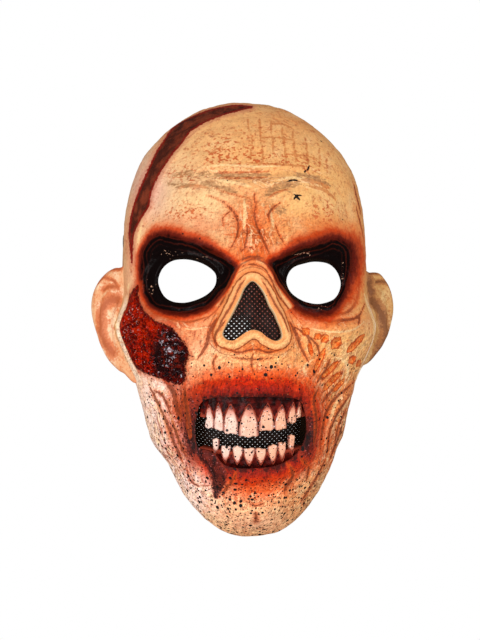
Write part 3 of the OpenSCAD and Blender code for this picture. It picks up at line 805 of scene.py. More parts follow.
# x, z, reach across, reach up, strength: where the colour is stippled
stippled = [
    (-40, 40, 20, 8, 1.0), (44, 40, 18, 9, 1.0), (-12, 26, 14, 10, 0.8), (16, 26, 12, 10, 0.7),
    (-20, 80, 20, 12, 0.6), (8, 71, 44, 6, 0.8), (8, 86, 34, 16, 0.55), (-42, 62, 12, 8, 0.85),
    (42, 60, 16, 9, 0.7)]
stipple = sum(strength * spot(pf, x, z, a, b) for x, z, a, b, strength in stippled)
putAttribute(face, 'stipple', np.clip(stipple, 0, 1))
putAttribute(face, 'blush', spot(pf, -60, 56, 9, 14))
crisp = 0.25 + 0.75 * np.clip(ramp(low, 20, 40) + spot(pf, 0, 30, 26, 24), 0, 1)
crisp *= 1 - 0.4 * spot(pf, -55, -88, 18, 34)
putAttribute(face, 'crisp', crisp)
folded = np.stack([wide, pz], -1)  # both halves of the face as one
cheeks = np.exp(-((wide - 50) / 16) ** 2) * ramp(low, 34, 60) * (1 - ramp(low, 118, 135))
upright = np.maximum(cheeks, 0.8 * spot(pf, 0, 30, 12, 16))
upright = np.maximum(upright, 0.7 * spot(folded, 24, -30, 7, 16))
putAttribute(face, 'upright', np.clip(upright, 0, 1))
level = 0.8 * np.exp(-((pz - 61) / 7) ** 2) * (1 - ramp(wide, 38, 52))
level = np.maximum(level, 0.75 * spot(folded, 48, -24, 20, 7))
putAttribute(face, 'level', np.clip(level, 0, 1))
ringed = 0.55 * np.exp(-((gap - 12) / 9) ** 2) + 0.45 * ramp(low, 100, 120) * (1 - ramp(low, 140, 152))
putAttribute(face, 'round', np.clip(ringed, 0, 0.8))
# painted shade in the mouth corners; the drip below the left corner joins it
corner = 1.1 * spot(np.stack([np.abs(px + 1), pz], -1), 34, -92, 5, 14)
corner += 0.45 * spot(pf, -41, -76, 7, 13)
drip = brush(pf, [([(-36, -98), (-28, -104), (-23, -110), (-20, -118), (-21, -129)], 5.2)])
putAttribute(face, 'corner', np.maximum(corner, 0.95 * ramp(drip, -0.2, 0.6)))


def paintedLatex():
    m = Nodes('paintedLatex')
    tintCol = m.attr('tint', 'Color')
    drift = m.noise(60, 3, 0.5)
    patchy = m.noise(160, 4, 0.6)
    fine = m.noise(420, 3, 0.6)
    pore = m.noise(900, 2, 0.6)
    wob = m.minus(m.plus(m.times(patchy, 0.6), m.times(fine, 0.5)), 0.55)
    rag = m.minus(m.noise(560, 4, 0.7), 0.5)
    crisp = m.attr('crisp')

    def ragged(value, soft, hard):  # a field with its edge broken up
        return m.plus(value, m.plus(m.times(wob, soft), m.times(rag, hard)))

    # mottled skin: warm and pale drifts, then small dry-brushed ones
    col = m.lay(tintCol, m.step(drift, 0.5, 0.72), 0.35, 240, 202, 150)
    col = m.lay(col, m.step(patchy, 0.50, 0.72), 0.32, 218, 122, 66)
    col = m.lay(col, m.step(m.noise(240, 4, 0.7), 0.54, 0.62), m.times(crisp, 0.5), 206, 112, 66)
    col = m.lay(col, m.step(m.noise(300, 4, 0.7, m.stretched(1, 1, 0.6)), 0.56, 0.63),
                m.times(crisp, 0.55), 244, 206, 152)
    col = m.lay(col, m.step(m.noise(680, 3, 0.7), 0.56, 0.66), m.times(crisp, 0.45), 184, 96, 60)
    # fine creases: a brown line with a painted highlight beside it, upright on the cheeks, level on the
    # brow
    for squeeze, place in (((1, 1, 0.42), 'upright'), ((0.5, 1, 1.6), 'level'), ((1, 1, 1), 'round')):
        line = m.add('ShaderNodeTexNoise')
        m.link(m.stretched(*squeeze), line.inputs['Vector'])
        line.inputs['Scale'].default_value = 105
        line.inputs['Detail'].default_value = 3.5
        line.inputs['Distortion'].default_value = 0.9
        off = m.minus(line.outputs[0], 0.5)
        near = m.math('ABSOLUTE', off)
        there = m.attr(place)
        # the painted highlight beside each crease
        col = m.lay(col, m.step(m.math('ABSOLUTE', m.minus(off, 0.035)), 0.022, 0.006),
                    m.times(there, 0.85), 253, 214, 166)
        col = m.lay(col, m.step(near, 0.024, 0.008), m.times(there, 0.8), 156, 70, 40)
    # flecks of dry-brushed ochre where the colour is stippled
    stip = m.attr('stipple')
    fleck = m.step(m.plus(m.noise(500, 2.5, 0.55, m.stretched(0.8, 1, 1.2)), m.times(stip, 0.14)),
                   0.672, 0.69)
    col = m.lay(col, fleck, m.times(stip, 0.95), 196, 98, 56)
    col = m.lay(col, m.attr('blush'), 0.55, 206, 140, 130)
    # painted highlights: pale strokes along the raised ridges
    pale = m.step(m.plus(m.attr('pale'), m.times(wob, 0.9)), 0.0, 0.75)
    col = m.lay(col, pale, 0.72, 244, 208, 152)
    faint = m.step(ragged(m.attr('faint'), 0.8, 0.8), -0.25, 0.25)
    col = m.lay(col, faint, 0.62, 190, 108, 60)
    # red round the mouth, streaked downwards
    streak = m.noise(330, 4, 0.65, m.stretched(1, 1, 0.18))
    gap = m.plus(m.attr('gap'), m.times(m.minus(streak, 0.5), 11))
    gap = ragged(gap, 6, 5)
    red = m.attr('lipRed')
    col = m.lay(col, m.step(gap, 20, 13), m.times(red, 0.72), 216, 74, 30)
    col = m.lay(col, m.step(gap, 13, 8.5), m.times(red, 0.9), 190, 38, 16)
    col = m.lay(col, m.step(gap, 8, 3.5), m.times(red, 0.8), 128, 20, 12)
    col = m.lay(col, m.step(gap, 3.2, 0.4), 0.92, 58, 12, 7)
    crease = m.step(m.noise(640, 3, 0.6, m.stretched(1, 1, 0.16)), 0.53, 0.6)
    lipFac = m.times(m.step(gap, 17, 9), m.times(red, 0.5))
    col = m.lay(col, crease, lipFac, 86, 16, 10)
    # painted shade in the mouth corners, and the dark red drip below the left one
    cornerShadeAndDrip = ragged(m.attr('corner'), 0.9, 1.6)
    col = m.lay(col, m.step(cornerShadeAndDrip, 0.0, 0.4), 0.7, 150, 52, 34)
    col = m.lay(col, m.step(cornerShadeAndDrip, 0.3, 0.6), 0.85, 84, 24, 18)
    col = m.lay(col, m.times(m.step(cornerShadeAndDrip, 0.5, 0.85), m.step(streak, 0.42, 0.56)), 0.9, 24, 8, 8)
    col = m.lay(col, m.times(m.step(cornerShadeAndDrip, 0.3, 0.6), m.step(pore, 0.64, 0.70)), 0.6, 206, 120, 120)
    broken = m.minus(m.noise(460, 4, 0.75, m.stretched(0.55, 1, 1.3)), 0.5)
    duskEdge = m.plus(m.times(wob, 1.6), m.times(broken, 6.5))
    dusk = m.plus(m.attr('dusk'), duskEdge)
    col = m.lay(col, m.step(dusk, 0.1, 0.35), 0.72, 166, 120, 80)
    col = m.lay(col, m.step(dusk, 0.9, 1.3), 0.6, 136, 88, 56)
    # the pale rim of the nose opening between two dark outlines
    rim = m.plus(m.attr('noseEdge'), m.times(wob, 2.2))
    wings = m.times(m.step(m.attr('bridge'), 0.2, 2.2), m.step(rim, 17, 12))
    col = m.lay(col, wings, 0.55, 232, 160, 104)
    col = m.lay(col, m.step(rim, 8.6, 6.0), 0.5, 214, 112, 56)
    col = m.lay(col, m.step(rim, 5.2, 4.4), 0.9, 240, 178, 120)
    col = m.lay(col, m.step(rim, 2.2, 1.0), 0.5, 226, 132, 74)
    for at, wide, deep in ((5.4, 0.55, 0.85), (8.2, 0.4, 0.6)):
        off = m.math('ABSOLUTE', m.minus(m.plus(rim, m.times(rag, 1.2)), at))
        col = m.lay(col, m.step(off, wide, wide * 0.4), deep, 132, 60, 32)
    # brown wrinkle strokes: a soft band under a crisp core
    b = ragged(m.attr('brown'), 1.3, 1.3)
    col = m.lay(col, m.step(b, -1.0, 0.3), 0.5, 206, 84, 38)
    col = m.lay(col, m.step(b, 0.2, 0.5), 0.78, 118, 50, 27)
    # open pits on the right cheek: a red-brown outline filled with orange
    pit = m.plus(m.attr('pit'), m.times(rag, 0.8))
    col = m.lay(col, m.step(pit, 0.0, 0.14), 0.9, 172, 62, 26)
    col = m.mix(m.times(m.step(pit, 0.3, 0.5), 0.9), col,
                m.mix(m.step(fine, 0.4, 0.6), lin(214, 92, 42), lin(240, 146, 80)))
    # eye sockets
    s = m.math('DIVIDE', m.attr('sock'), m.attr('halo'))
    s = ragged(s, 5.0, 3.0)
    ridge = m.plus(m.attr('bridge'), m.times(wob, 1.6))
    s = m.minus(s, m.times(m.step(ridge, 0.0, 4.0), 9.0))
    col = m.lay(col, m.step(s, -12, -7), 0.55, 222, 108, 60)
    col = m.lay(col, m.step(s, -8.6, -5.0), 0.85, 186, 54, 22)
    col = m.lay(col, m.step(s, -5.6, -1.8), 0.95, 92, 22, 13)
    swirl = m.math('SINE', m.plus(m.times(m.attr('sock'), 2.3), m.times(drift, 14)))
    lines = m.times(m.step(m.plus(swirl, m.times(rag, 2.4)), 0.2, 1.2), m.step(s, 9, 0))
    inner = m.lay(lin(13, 6, 6), lines, 0.75, 82, 26, 16)
    col = m.mix(m.step(s, -2.4, 1.6), col, inner)
    edgeLine = m.math('ABSOLUTE', m.minus(ridge, 0.2))
    col = m.lay(col, m.step(edgeLine, 0.9, 0.25), m.times(m.attr('bridgeOn'), 0.7), 126, 50, 28)
    # painted glints in the dark sockets round the eye holes
    glint = m.step(m.plus(m.noise(520, 3, 0.7, m.stretched(0.6, 1, 1.5)),
                          m.times(m.attr('glint'), 0.17)), 0.735, 0.76)
    col = m.lay(col, m.times(glint, m.step(s, 0, 2)), 0.85, 206, 160, 132)
    # the long gash
    g = m.plus(m.attr('gash'), m.times(rag, 2.2))
    col = m.lay(col, m.step(g, -3.5, -0.4), 0.5, 206, 120, 92)
    flesh = m.mix(m.step(m.noise(110, 4, 0.6), 0.4, 0.62), lin(74, 30, 19), lin(120, 52, 33))
    gashCol = m.mix(m.step(g, 1.5, 0.1), flesh, lin(142, 26, 18))
    gashFac = m.step(g, -0.4, 0.1)
    col = m.mix(gashFac, col, gashCol)
    # the raw cheek
    w = ragged(m.attr('wound'), 3.0, 5.0)
    col = m.lay(col, m.step(w, -4.5, -0.5), 0.65, 186, 66, 38)
    gore = m.mix(m.step(m.noise(190, 5, 0.75), 0.42, 0.6), lin(104, 13, 10), lin(206, 40, 23))
    gore = m.lay(gore, m.step(m.noise(640, 3, 0.75), 0.56, 0.62), 0.6, 228, 88, 52)
    gore = m.lay(gore, m.step(m.noise(760, 4, 0.8), 0.47, 0.41), 0.85, 42, 7, 6)
    # painted glints on the raw flesh
    goreGlints = m.plus(m.noise(620, 3, 0.7), m.times(m.attr('shine'), 0.07))
    gore = m.lay(gore, m.step(goreGlints, 0.66, 0.69), 0.8, 240, 214, 206)
    clot = m.mix(m.step(m.noise(300, 4, 0.65), 0.48, 0.62), lin(44, 12, 12), lin(128, 38, 28))
    # painted glints on the clot
    clotGlints = m.plus(m.noise(360, 4, 0.8), m.times(m.attr('shine'), 0.09))
    clot = m.lay(clot, m.step(clotGlints, 0.625, 0.655), 0.92, 224, 214, 224)
    clot = m.lay(clot, m.step(m.noise(520, 3, 0.75), 0.47, 0.42), 0.9, 12, 4, 5)
    dark = ragged(m.attr('woundDark'), 1.0, 1.2)
    gore = m.mix(m.step(dark, 0.15, 0.5), gore, clot)
    gore = m.lay(gore, m.step(w, 2.6, 0.2), 0.7, 84, 12, 10)
    woundFac = m.step(w, -0.5, 0.1)
    col = m.mix(woundFac, col, gore)
    # black splatter, thicker towards the chin
    speck = m.attr('speck')
    for scale, limit, share in ((300, 0.40, 0.62), (480, 0.42, 0.7), (760, 0.42, 0.55)):
        col = m.specks(col, scale, limit, m.times(speck, share), 1.1, 0.05, (26, 18, 18))
    marks = m.step(m.plus(m.attr('black'), m.times(wob, 1.0)), 0.1, 0.4)
    col = m.mix(marks, col, lin(30, 20, 16))
    shifted = m.add('ShaderNodeMapping')  # painted light on one side of every grain and painted shade on the other
    m.link(m.coords, shifted.inputs['Vector'])
    shifted.inputs['Location'].default_value = (0.0005, 0, -0.0005)
    reliefShading = m.minus(m.noise(330, 4, 0.65), m.noise(330, 4, 0.65, shifted.outputs[0]))
    # random tone of the grain, with the painted light and shade added
    grainAndShading = m.math('MULTIPLY_ADD', m.noise(820, 3, 0.7), 0.7)
    grainAndShading.node.inputs[2].default_value = 0.7
    grainAndShading = m.plus(grainAndShading, m.times(reliefShading, 2.8))
    tone = m.add('ShaderNodeHueSaturation')
    tone.inputs['Saturation'].default_value = 1.03
    m.put(tone.inputs['Value'], m.blend(crisp, 1.0, grainAndShading))
    m.put(tone.inputs['Color'], col)
    col = tone.outputs[0]
    rough = m.blend(m.step(s, -2, 1), 0.6, 0.3)
    rough = m.blend(woundFac, rough, 0.16)
    rough = m.blend(gashFac, rough, 0.42)
    pores = m.plus(m.times(pore, 0.35), m.times(fine, 0.65))
    normal = m.bump(pores, 0.0008, 0.45)
    normal = m.bump(m.times(m.noise(420, 4, 0.7), woundFac), 0.004, 1.0, normal)
    normal = m.bump(m.times(m.noise(700, 3, 0.7), gashFac), 0.0012, 0.6, normal)
    m.put(m.shader.inputs['Specular IOR Level'], m.blend(m.step(s, -5, 0), 0.17, 0.07))
    return m.finish(col, rough, normal)


def bareLatex():
    m = Nodes('bareLatex')
    n = m.noise(45, 4, 0.6)
    col = m.mix(m.step(n, 0.35, 0.7), lin(214, 176, 132), lin(232, 204, 164))
    col = m.lay(col, m.step(m.noise(12, 3, 0.6), 0.5, 0.75), 0.35, 196, 150, 104)
    normal = m.bump(m.noise(260, 4, 0.6), 0.0008, 0.5)
    return m.finish(col, 0.62, normal)


face.data.materials[0] = paintedLatex()
face.data.materials[1] = bareLatex()

print('gums, teeth and mesh')
mouthSet = dict(lean=15, back=86.3, up=91, arch=52.0, gumBack=46.2, gumFront=51.6, meshArch=46.0)
lean = math.radians(mouthSet['lean'])
archRadius = mouthSet['arch']
gumBack = mouthSet['gumBack']
perRadian = 57.3  # degrees


def inMouth(p):  # from the mouth's own frame, x across, y back, z up the lean
    p = np.asarray(p, float)
    y = p[..., 1] * math.cos(lean) - p[..., 2] * math.sin(lean)
    z = p[..., 1] * math.sin(lean) + p[..., 2] * math.cos(lean)
    return np.stack([p[..., 0], y - mouthSet['back'], z - mouthSet['up']], -1)


def onArch(deg, radius, z):
    a = np.radians(deg)
    return inMouth(np.stack([radius * np.sin(a), archRadius - radius * np.cos(a), z + 0 * a], -1))


def gridFaces(rows, cols, offset=0, closed=False, flip=False):
    out = []
    for j in range(rows - 1):
        for i in range(cols if closed else cols - 1):
            a = offset + j * cols + i
            b = offset + j * cols + (i + 1) % cols
            quad = (a, b, b + cols, a + cols)
            out.append(quad[::-1] if flip else quad)
    return out


# angle, width, height of the root and of the edge, and which way the tooth leans
upperTeeth = [
    (-30, 5.9, 17, 1.2, 3), (-23.3, 6.3, 19, 0.8, 2), (-15.2, 8.9, 19, -0.7, 1),
    (-3.3, 11.6, 20, -2.1, 0), (8.5, 9.4, 20, 1.6, -1), (18.3, 7.8, 18, 1.5, -1),
    (26.5, 5.9, 19, 4.6, -3), (31.8, 4.1, 18, 7, -2)]
lowerTeeth = [
    (-25.3, 4.2, -15, -5.1, 2), (-18.2, 5.8, -20, -8.8, 2), (-10.2, 6.2, -21, -8.5, 1),
    (-2.6, 6.7, -21.5, -9.3, 0), (5.1, 6.5, -21, -9.6, 0), (13.2, 6.0, -21, -7.9, -1),
    (19.7, 5.2, -19.5, -6.7, -2), (27.1, 4.5, -15, -3.1, -3)]
toothSet = dict(rings=30, around=28, root=4.6, edge=2.2)
# share of the height from the root, and share of the full width there
upperForm = ([0, 0.08, 0.2, 0.4, 0.62, 0.85, 0.95, 1], [0.16, 0.42, 0.64, 0.78, 0.92, 1.07, 1.0, 0.62])
lowerForm = ([0, 0.12, 0.4, 0.7, 0.9, 0.97, 1], [0.24, 0.42, 0.76, 1.0, 1.04, 0.88, 0.45])


def toothMesh(name, data, seed, lower):
    angle, width, root, edge, tilt = data
    rings = toothSet['rings']
    around = toothSet['around']
    verts = []
    for j in range(rings + 1):
        t = j / rings  # 0 at the root, 1 at the biting edge
        z = root + (edge - root) * (1 - (1 - t) ** 1.25 if t < 1 else 1)
        half = width * 0.5 * np.interp(t, *(lowerForm if lower else upperForm))
        deepAt = np.interp(t, [0, 0.5, 0.9, 1], [toothSet['root'], 3.9, 2.6, toothSet['edge'] * 0.45])
        swell = np.interp(t, [0, 0.25, 0.6, 0.9, 1], [0.5, -0.1, -0.35, -0.05, 0.5])
        for i in range(around):
            a = 2 * math.pi * i / around
            c, s = math.cos(a), math.sin(a)
            x = half * np.sign(c) * abs(c) ** 0.62
            y = swell + deepAt * 0.5 * (1 - np.sign(s) * abs(s) ** 0.7)
            sway = noise.noise(Vector((x * 0.5, z * 0.4, seed)))
            wave = 0.16 * math.sin(3 * x + seed) * t * t + 0.3 * sway
            slip = noise.noise(Vector((seed, z * 0.35, 0.5 * np.sign(x))))  # no two edges run alike
            bite = 0.45 * math.sin(1.1 * x + seed) + 0.2 * math.sin(2.9 * x + seed)
            verts.append((x + 0.35 * slip + tilt * 0.12 * (t - 0.5), y + wave, z + bite * t ** 6))
    faces = [tuple(range(around))[::-1]] + gridFaces(rings + 1, around, 0, True)
    tip = rings * around
    faces.append(tuple(tip + i for i in range(around)))
    p = np.array(verts)
    a = math.radians(angle)
    x = p[:, 0] * math.cos(a) - (p[:, 1] - archRadius) * math.sin(a)
    y = p[:, 0] * math.sin(a) + (p[:, 1] - archRadius) * math.cos(a) + archRadius
    q = inMouth(np.stack([x, y, p[:, 2]], -1))
    obj = solidOf(name, q, faces)
    t = (p[:, 2] - root) / (edge - root)
    putAttribute(obj, 'down', np.clip(t, 0, 1))
    putAttribute(obj, 'across', p[:, 0] / (width * 0.5))
    putAttribute(obj, 'place', np.full(len(p), (angle + 34) / 66))
    return obj


def toothMaterial():
    m = Nodes('stainedTooth')
    down = m.attr('down')
    place = m.attr('place')
    wob = m.minus(m.noise(260, 3, 0.6), 0.5)
    col = m.mix(m.step(place, 0.05, 0.75), lin(244, 206, 190), lin(242, 176, 142))
    streaks = m.noise(300, 3, 0.6, m.stretched(1, 1, 0.3))
    col = m.lay(col, m.step(streaks, 0.45, 0.68), 0.45, 224, 150, 122)
    root = m.plus(down, m.times(wob, 0.35))
    col = m.lay(col, m.step(root, 0.52, 0.26), 0.75, 196, 92, 68)
    col = m.mix(m.step(root, 0.30, 0.16), col, lin(96, 24, 20))
    side = m.plus(m.math('ABSOLUTE', m.attr('across')), m.times(wob, 0.4))
    col = m.lay(col, m.step(side, 0.62, 0.95), 0.8, 150, 62, 48)
    col = m.lay(col, m.step(side, 0.9, 1.1), 0.9, 70, 20, 16)
    # small painted highlights
    col = m.lay(col, m.step(m.noise(640, 3, 0.7), 0.60, 0.66), 0.7, 255, 244, 238)
    for scale, share, limit in ((330, 0.6, 0.38), (560, 0.6, 0.42), (900, 0.5, 0.42)):
        col = m.specks(col, scale, limit, share, 1.0, 0.06, (40, 26, 26))
    normal = m.bump(m.noise(380, 3, 0.6), 0.0005, 0.5)
    m.shader.inputs['Specular IOR Level'].default_value = 0.3
    return m.finish(col, 0.45, normal)


toothMat = toothMaterial()
for rowName, row, lower in (('upper', upperTeeth, False), ('lower', lowerTeeth, True)):
    for k, data in enumerate(row):
        tooth = toothMesh('%sTooth%d' % (rowName, k + 1), data, k * 3.7 + (20 if lower else 0), lower)
        tooth.data.materials.append(toothMat)
        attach(tooth, 'mask')
        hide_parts('%s_tooth_%d' % (rowName, k + 1))

# gums: a strip behind the lip with an arched bed over every tooth
gumSet = dict(cols=300, rows=46, halfAngle=36.9, upperHem=18.2, lowerHem=-19.2)


def gumMesh(name, row, low, high, upper):
    cols = gumSet['cols']
    rows = gumSet['rows']
    deg = np.linspace(-gumSet['halfAngle'], gumSet['halfAngle'], cols)
    # how far the bed stands towards the biting edge from its highest arch
    edgeLine = np.full(cols, 99.0)
    for angle, width, root, edge, _ in row:
        u = np.abs(deg - angle) / (width / archRadius / 2 * perRadian)
        span = abs(edge - root)
        top = (20 - abs(root)) * 0.8 if upper else (21.5 - abs(root)) * 0.8
        edgeLine = np.where(u < 1.6, np.minimum(edgeLine, top + span * 0.56 * u ** 1.35), edgeLine)
    edgeLine = np.minimum(edgeLine, 11.0 if upper else 7.5)
    zTop = high if upper else low
    margins = gumSet['upperHem'] - edgeLine if upper else gumSet['lowerHem'] + edgeLine
    verts = []
    for j in range(rows):
        t = j / (rows - 1)
        for k in range(cols):
            z = zTop + (margins[k] - zTop) * t
            bead = 0.9 * math.exp(-((1 - t) * abs(zTop - margins[k]) / 1.1) ** 2)
            rootLump = 0.0
            for angle, width, root, edge, _ in row:
                half = width / archRadius / 2 * perRadian
                rootLump += 0.9 * math.exp(-((deg[k] - angle) / (half * 0.62)) ** 2) * (0.4 + 0.6 * t)
            r = mouthSet['gumFront'] + rootLump + bead * 0.8 - (0.9 if t > 0.985 else 0)
            r += 0.25 * noise.noise(Vector((deg[k] * 0.35, z * 0.5, 3.0)))
            verts.append(onArch(deg[k], r, z))
    front = len(verts)
    for j in range(rows):
        t = j / (rows - 1)
        for k in range(cols):
            verts.append(onArch(deg[k], gumBack, zTop + (margins[k] - zTop) * t))
    verts = np.array(verts)
    faces = gridFaces(rows, cols) + gridFaces(rows, cols, front, False, True)
    for k in range(cols - 1):
        faces.append((k, front + k, front + k + 1, k + 1))
        e = (rows - 1) * cols
        faces.append((e + k, e + k + 1, front + e + k + 1, front + e + k))
    for j in range(rows - 1):
        a = j * cols
        faces.append((a, a + cols, front + a + cols, front + a))
        b = a + cols - 1
        faces.append((b, front + b, front + b + cols, b + cols))
    obj = solidOf(name, verts, faces)
    t = np.tile(np.repeat(np.arange(rows) / (rows - 1), cols), 2)
    putAttribute(obj, 'down', t)
    return obj


def gumMaterial():
    m = Nodes('gumLatex')
    n = m.noise(300, 4, 0.6)
    down = m.plus(m.attr('down'), m.times(m.minus(n, 0.5), 0.35))
    col = m.mix(m.step(n, 0.38, 0.62), lin(38, 6, 5), lin(92, 16, 10))
    col = m.lay(col, m.step(down, 0.84, 0.93), 0.85, 166, 66, 46)
    col = m.lay(col, m.step(down, 0.6, 0.2), 0.8, 22, 5, 5)
    normal = m.bump(m.noise(420, 3, 0.6), 0.001, 0.6)
    m.shader.inputs['Specular IOR Level'].default_value = 0.12
    return m.finish(col, 0.35, normal)


gumMat = gumMaterial()
for name, node, row, low, high, upper in (('upperGum', 'upper_gum', upperTeeth, 13.5, 24.5, True),
                                          ('lowerGum', 'lower_gum', lowerTeeth, -26.5, -15.5, False)):
    gum = gumMesh(name, row, low, high, upper)
    gum.data.materials.append(gumMat)
    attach(gum, 'mask')
    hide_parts(node)

# mesh panels: real bars with openings between them, laid over a surface
meshSet = dict(pitch=3.0, row=1.45, thick=0.5, glue=0.45, noseGlue=0.9, margin=3.4)


# place(u, v, depth) gives a point in millimetres
def lattice(name, width, height, opening, place, keep, share):
    pitch = meshSet['pitch']
    row = meshSet['row']
    bm = bmesh.new()
    lipLayer = bm.verts.layers.float.new('lip')
    cells = []
    cols = int(width / pitch) + 2
    lines = int(height / row) + 2
    verts = {}

    def vert(u, v, d, lip=0.0):
        key = (round(u, 3), round(v, 3), d)
        if key not in verts:
            verts[key] = bm.verts.new(Vector(place(u, v, d)) / 1000)
            verts[key][lipLayer] = lip
        return verts[key]

    def bridgeOver(a, b):  # joins the two skins along an edge
        bm.faces.new([vert(*a, 0), vert(*b, 0), vert(*b, 1), vert(*a, 1)])

    def edgeKey(a, b):
        return frozenset(((round(a[0], 3), round(a[1], 3)), (round(b[0], 3), round(b[1], 3))))

    for j in range(-lines, lines + 1):
        for i in range(-cols, cols + 1):
            cx = (i + 0.5 * (j % 2)) * pitch
            cz = j * row
            if not keep(cx, cz):
                continue
            outer = [(cx - pitch / 2, cz), (cx, cz - row), (cx + pitch / 2, cz), (cx, cz + row)]
            hx, hz = (h * share(cx, cz) for h in opening)
            hole = [(cx - hx, cz), (cx, cz - hz), (cx + hx, cz), (cx, cz + hz)]
            cells.append((outer, hole))
            for u, v in hole:
                for depth in (0, 1):
                    vert(u, v, depth, 1 - share(cx, cz))
    edges = {}
    for outer, hole in cells:
        for k in range(4):
            key = edgeKey(outer[k], outer[(k + 1) % 4])
            edges[key] = edges.get(key, 0) + 1
    for outer, hole in cells:
        for k in range(4):
            a, b = outer[k], outer[(k + 1) % 4]
            c, d = hole[(k + 1) % 4], hole[k]
            for depth, quad in ((0, (a, b, c, d)), (1, (d, c, b, a))):
                bm.faces.new([vert(u, v, depth) for u, v in quad])
            bridgeOver(d, c)
            if edges[edgeKey(a, b)] == 1:  # the outer edge of the panel
                bridgeOver(b, a)
    return fromBmesh(name, bm, False)


def mouthPlace(u, v, d):
    radius = gumBack - meshSet['glue'] - d * meshSet['thick']
    return onArch(np.degrees(u / mouthSet['meshArch']), radius, np.float64(v))


def nosePlace(u, v, d):
    p = np.array([[u, v]])
    depth, _ = baseDepth(p)
    return (u, -(depth[0] - faceSet['skin'] - meshSet['noseGlue'] - d * meshSet['thick']), v)


def meshMaterial():
    m = Nodes('blackMesh')
    n = m.noise(500, 3, 0.6)
    col = m.mix(m.step(n, 0.35, 0.7), lin(14, 8, 6), lin(40, 22, 15))
    col = m.lay(col, m.step(m.attr('lip'), 0.42, 0.58), 0.9, 116, 50, 36)
    normal = m.bump(n, 0.0004, 0.5)
    m.shader.inputs['Specular IOR Level'].default_value = 0.12
    return m.finish(col, 0.5, normal)


def keepNose(u, v):
    p = np.array([[u, v]])
    ang, rad = polarOf(p)
    return rad[0] < hermite(noseTable, ang)[0] + meshSet['margin']


def keepMouth(u, v):
    return abs(u) < 38.8 and -27 < v < 26  # half the width, and the lower and upper edges


def mouthOpen(u, v):
    return 1.0


def noseOpen(u, v):  # the openings are wide only at the lower left, and gummed up elsewhere
    return 0.24 + 0.8 * float(ramp(-v, 19, 27) * ramp(-u, 1, 6))


noseMesh = lattice('noseMesh', 48, 46, (0.54, 0.35), nosePlace, keepNose, noseOpen)
mouthMesh = lattice('mouthMesh', 80, 58, (0.46, 0.29), mouthPlace, keepMouth, mouthOpen)
meshMat = meshMaterial()
for obj, node in ((noseMesh, 'nose_mesh'), (mouthMesh, 'mouth_mesh')):
    obj.data.materials.append(meshMat)
    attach(obj, 'mask')
    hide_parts(node)

print('ears')
earSet = dict(reach=25, height=65, thick=5, sweep=40, x=75, y=-23, z=-24.5, rings=30, around=140,
              sunk=0.9)
# share of the reach and of the height; the right one meets the face higher up
leftEarShape = [
    (-0.4, 0.46), (0.12, 0.50), (0.36, 0.485), (0.57, 0.44), (0.77, 0.37), (0.92, 0.28), (0.99, 0.18),
    (0.985, 0.08), (0.92, -0.02), (0.81, -0.13), (0.69, -0.24), (0.48, -0.36), (0.24, -0.44),
    (0.0, -0.49), (-0.5, -0.52)]
rightEarShape = [
    (-0.4, 0.43), (0.12, 0.458), (0.36, 0.46), (0.50, 0.445), (0.62, 0.41), (0.76, 0.355),
    (0.88, 0.275), (0.95, 0.18), (0.95, 0.08), (0.87, -0.02), (0.75, -0.13), (0.56, -0.24),
    (0.34, -0.32), (0.12, -0.385), (-0.1, -0.42), (-0.5, -0.44)]
# painted shade in the bowl and folds of the ear: points and width
leftEarShading = [
    ([(0.08, 0.20), (0.40, 0.19), (0.60, 0.10), (0.63, -0.05), (0.52, -0.19), (0.26, -0.31)], 0.10),
    ([(0.745, 0.35), (0.53, 0.41), (0.22, 0.375), (0.08, 0.31)], 0.032),
    ([(0.0, 0.485), (0.34, 0.485)], 0.03), ([(0.14, 0.32), (0.40, 0.32), (0.56, 0.29)], 0.045)]
rightEarShading = [
    ([(0.08, 0.20), (0.38, 0.12), (0.55, 0.0), (0.58, -0.14), (0.40, -0.27), (0.16, -0.38)], 0.11),
    ([(0.28, 0.37), (0.50, 0.375), (0.70, 0.34), (0.80, 0.28)], 0.04),
    ([(0.02, 0.36), (0.06, 0.27)], 0.13), ([(0.0, 0.45), (0.34, 0.455)], 0.03)]
# along the helix, the antihelix, the tragus side and the folds inside the bowl
earRidges = [
    ([(0.05, 0.40), (0.30, 0.43), (0.55, 0.38), (0.74, 0.27), (0.80, 0.14), (0.74, 0.0), (0.62, -0.12)],
     0.055, 1.5),
    ([(0.12, 0.27), (0.34, 0.27), (0.54, 0.18), (0.60, 0.02), (0.54, -0.12), (0.40, -0.24)], 0.055,
     1.6),
    ([(0.28, 0.36), (0.50, 0.33), (0.66, 0.20), (0.70, 0.06), (0.64, -0.06)], 0.035, -1.5),
    ([(0.10, 0.14), (0.20, 0.02), (0.22, -0.12), (0.14, -0.24)], 0.05, 1.3),
    ([(0.20, 0.16), (0.36, 0.10), (0.40, -0.04), (0.34, -0.18), (0.22, -0.28)], 0.08, -2.6),
    ([(0.12, -0.30), (0.28, -0.28), (0.44, -0.20)], 0.05, 0.9)]


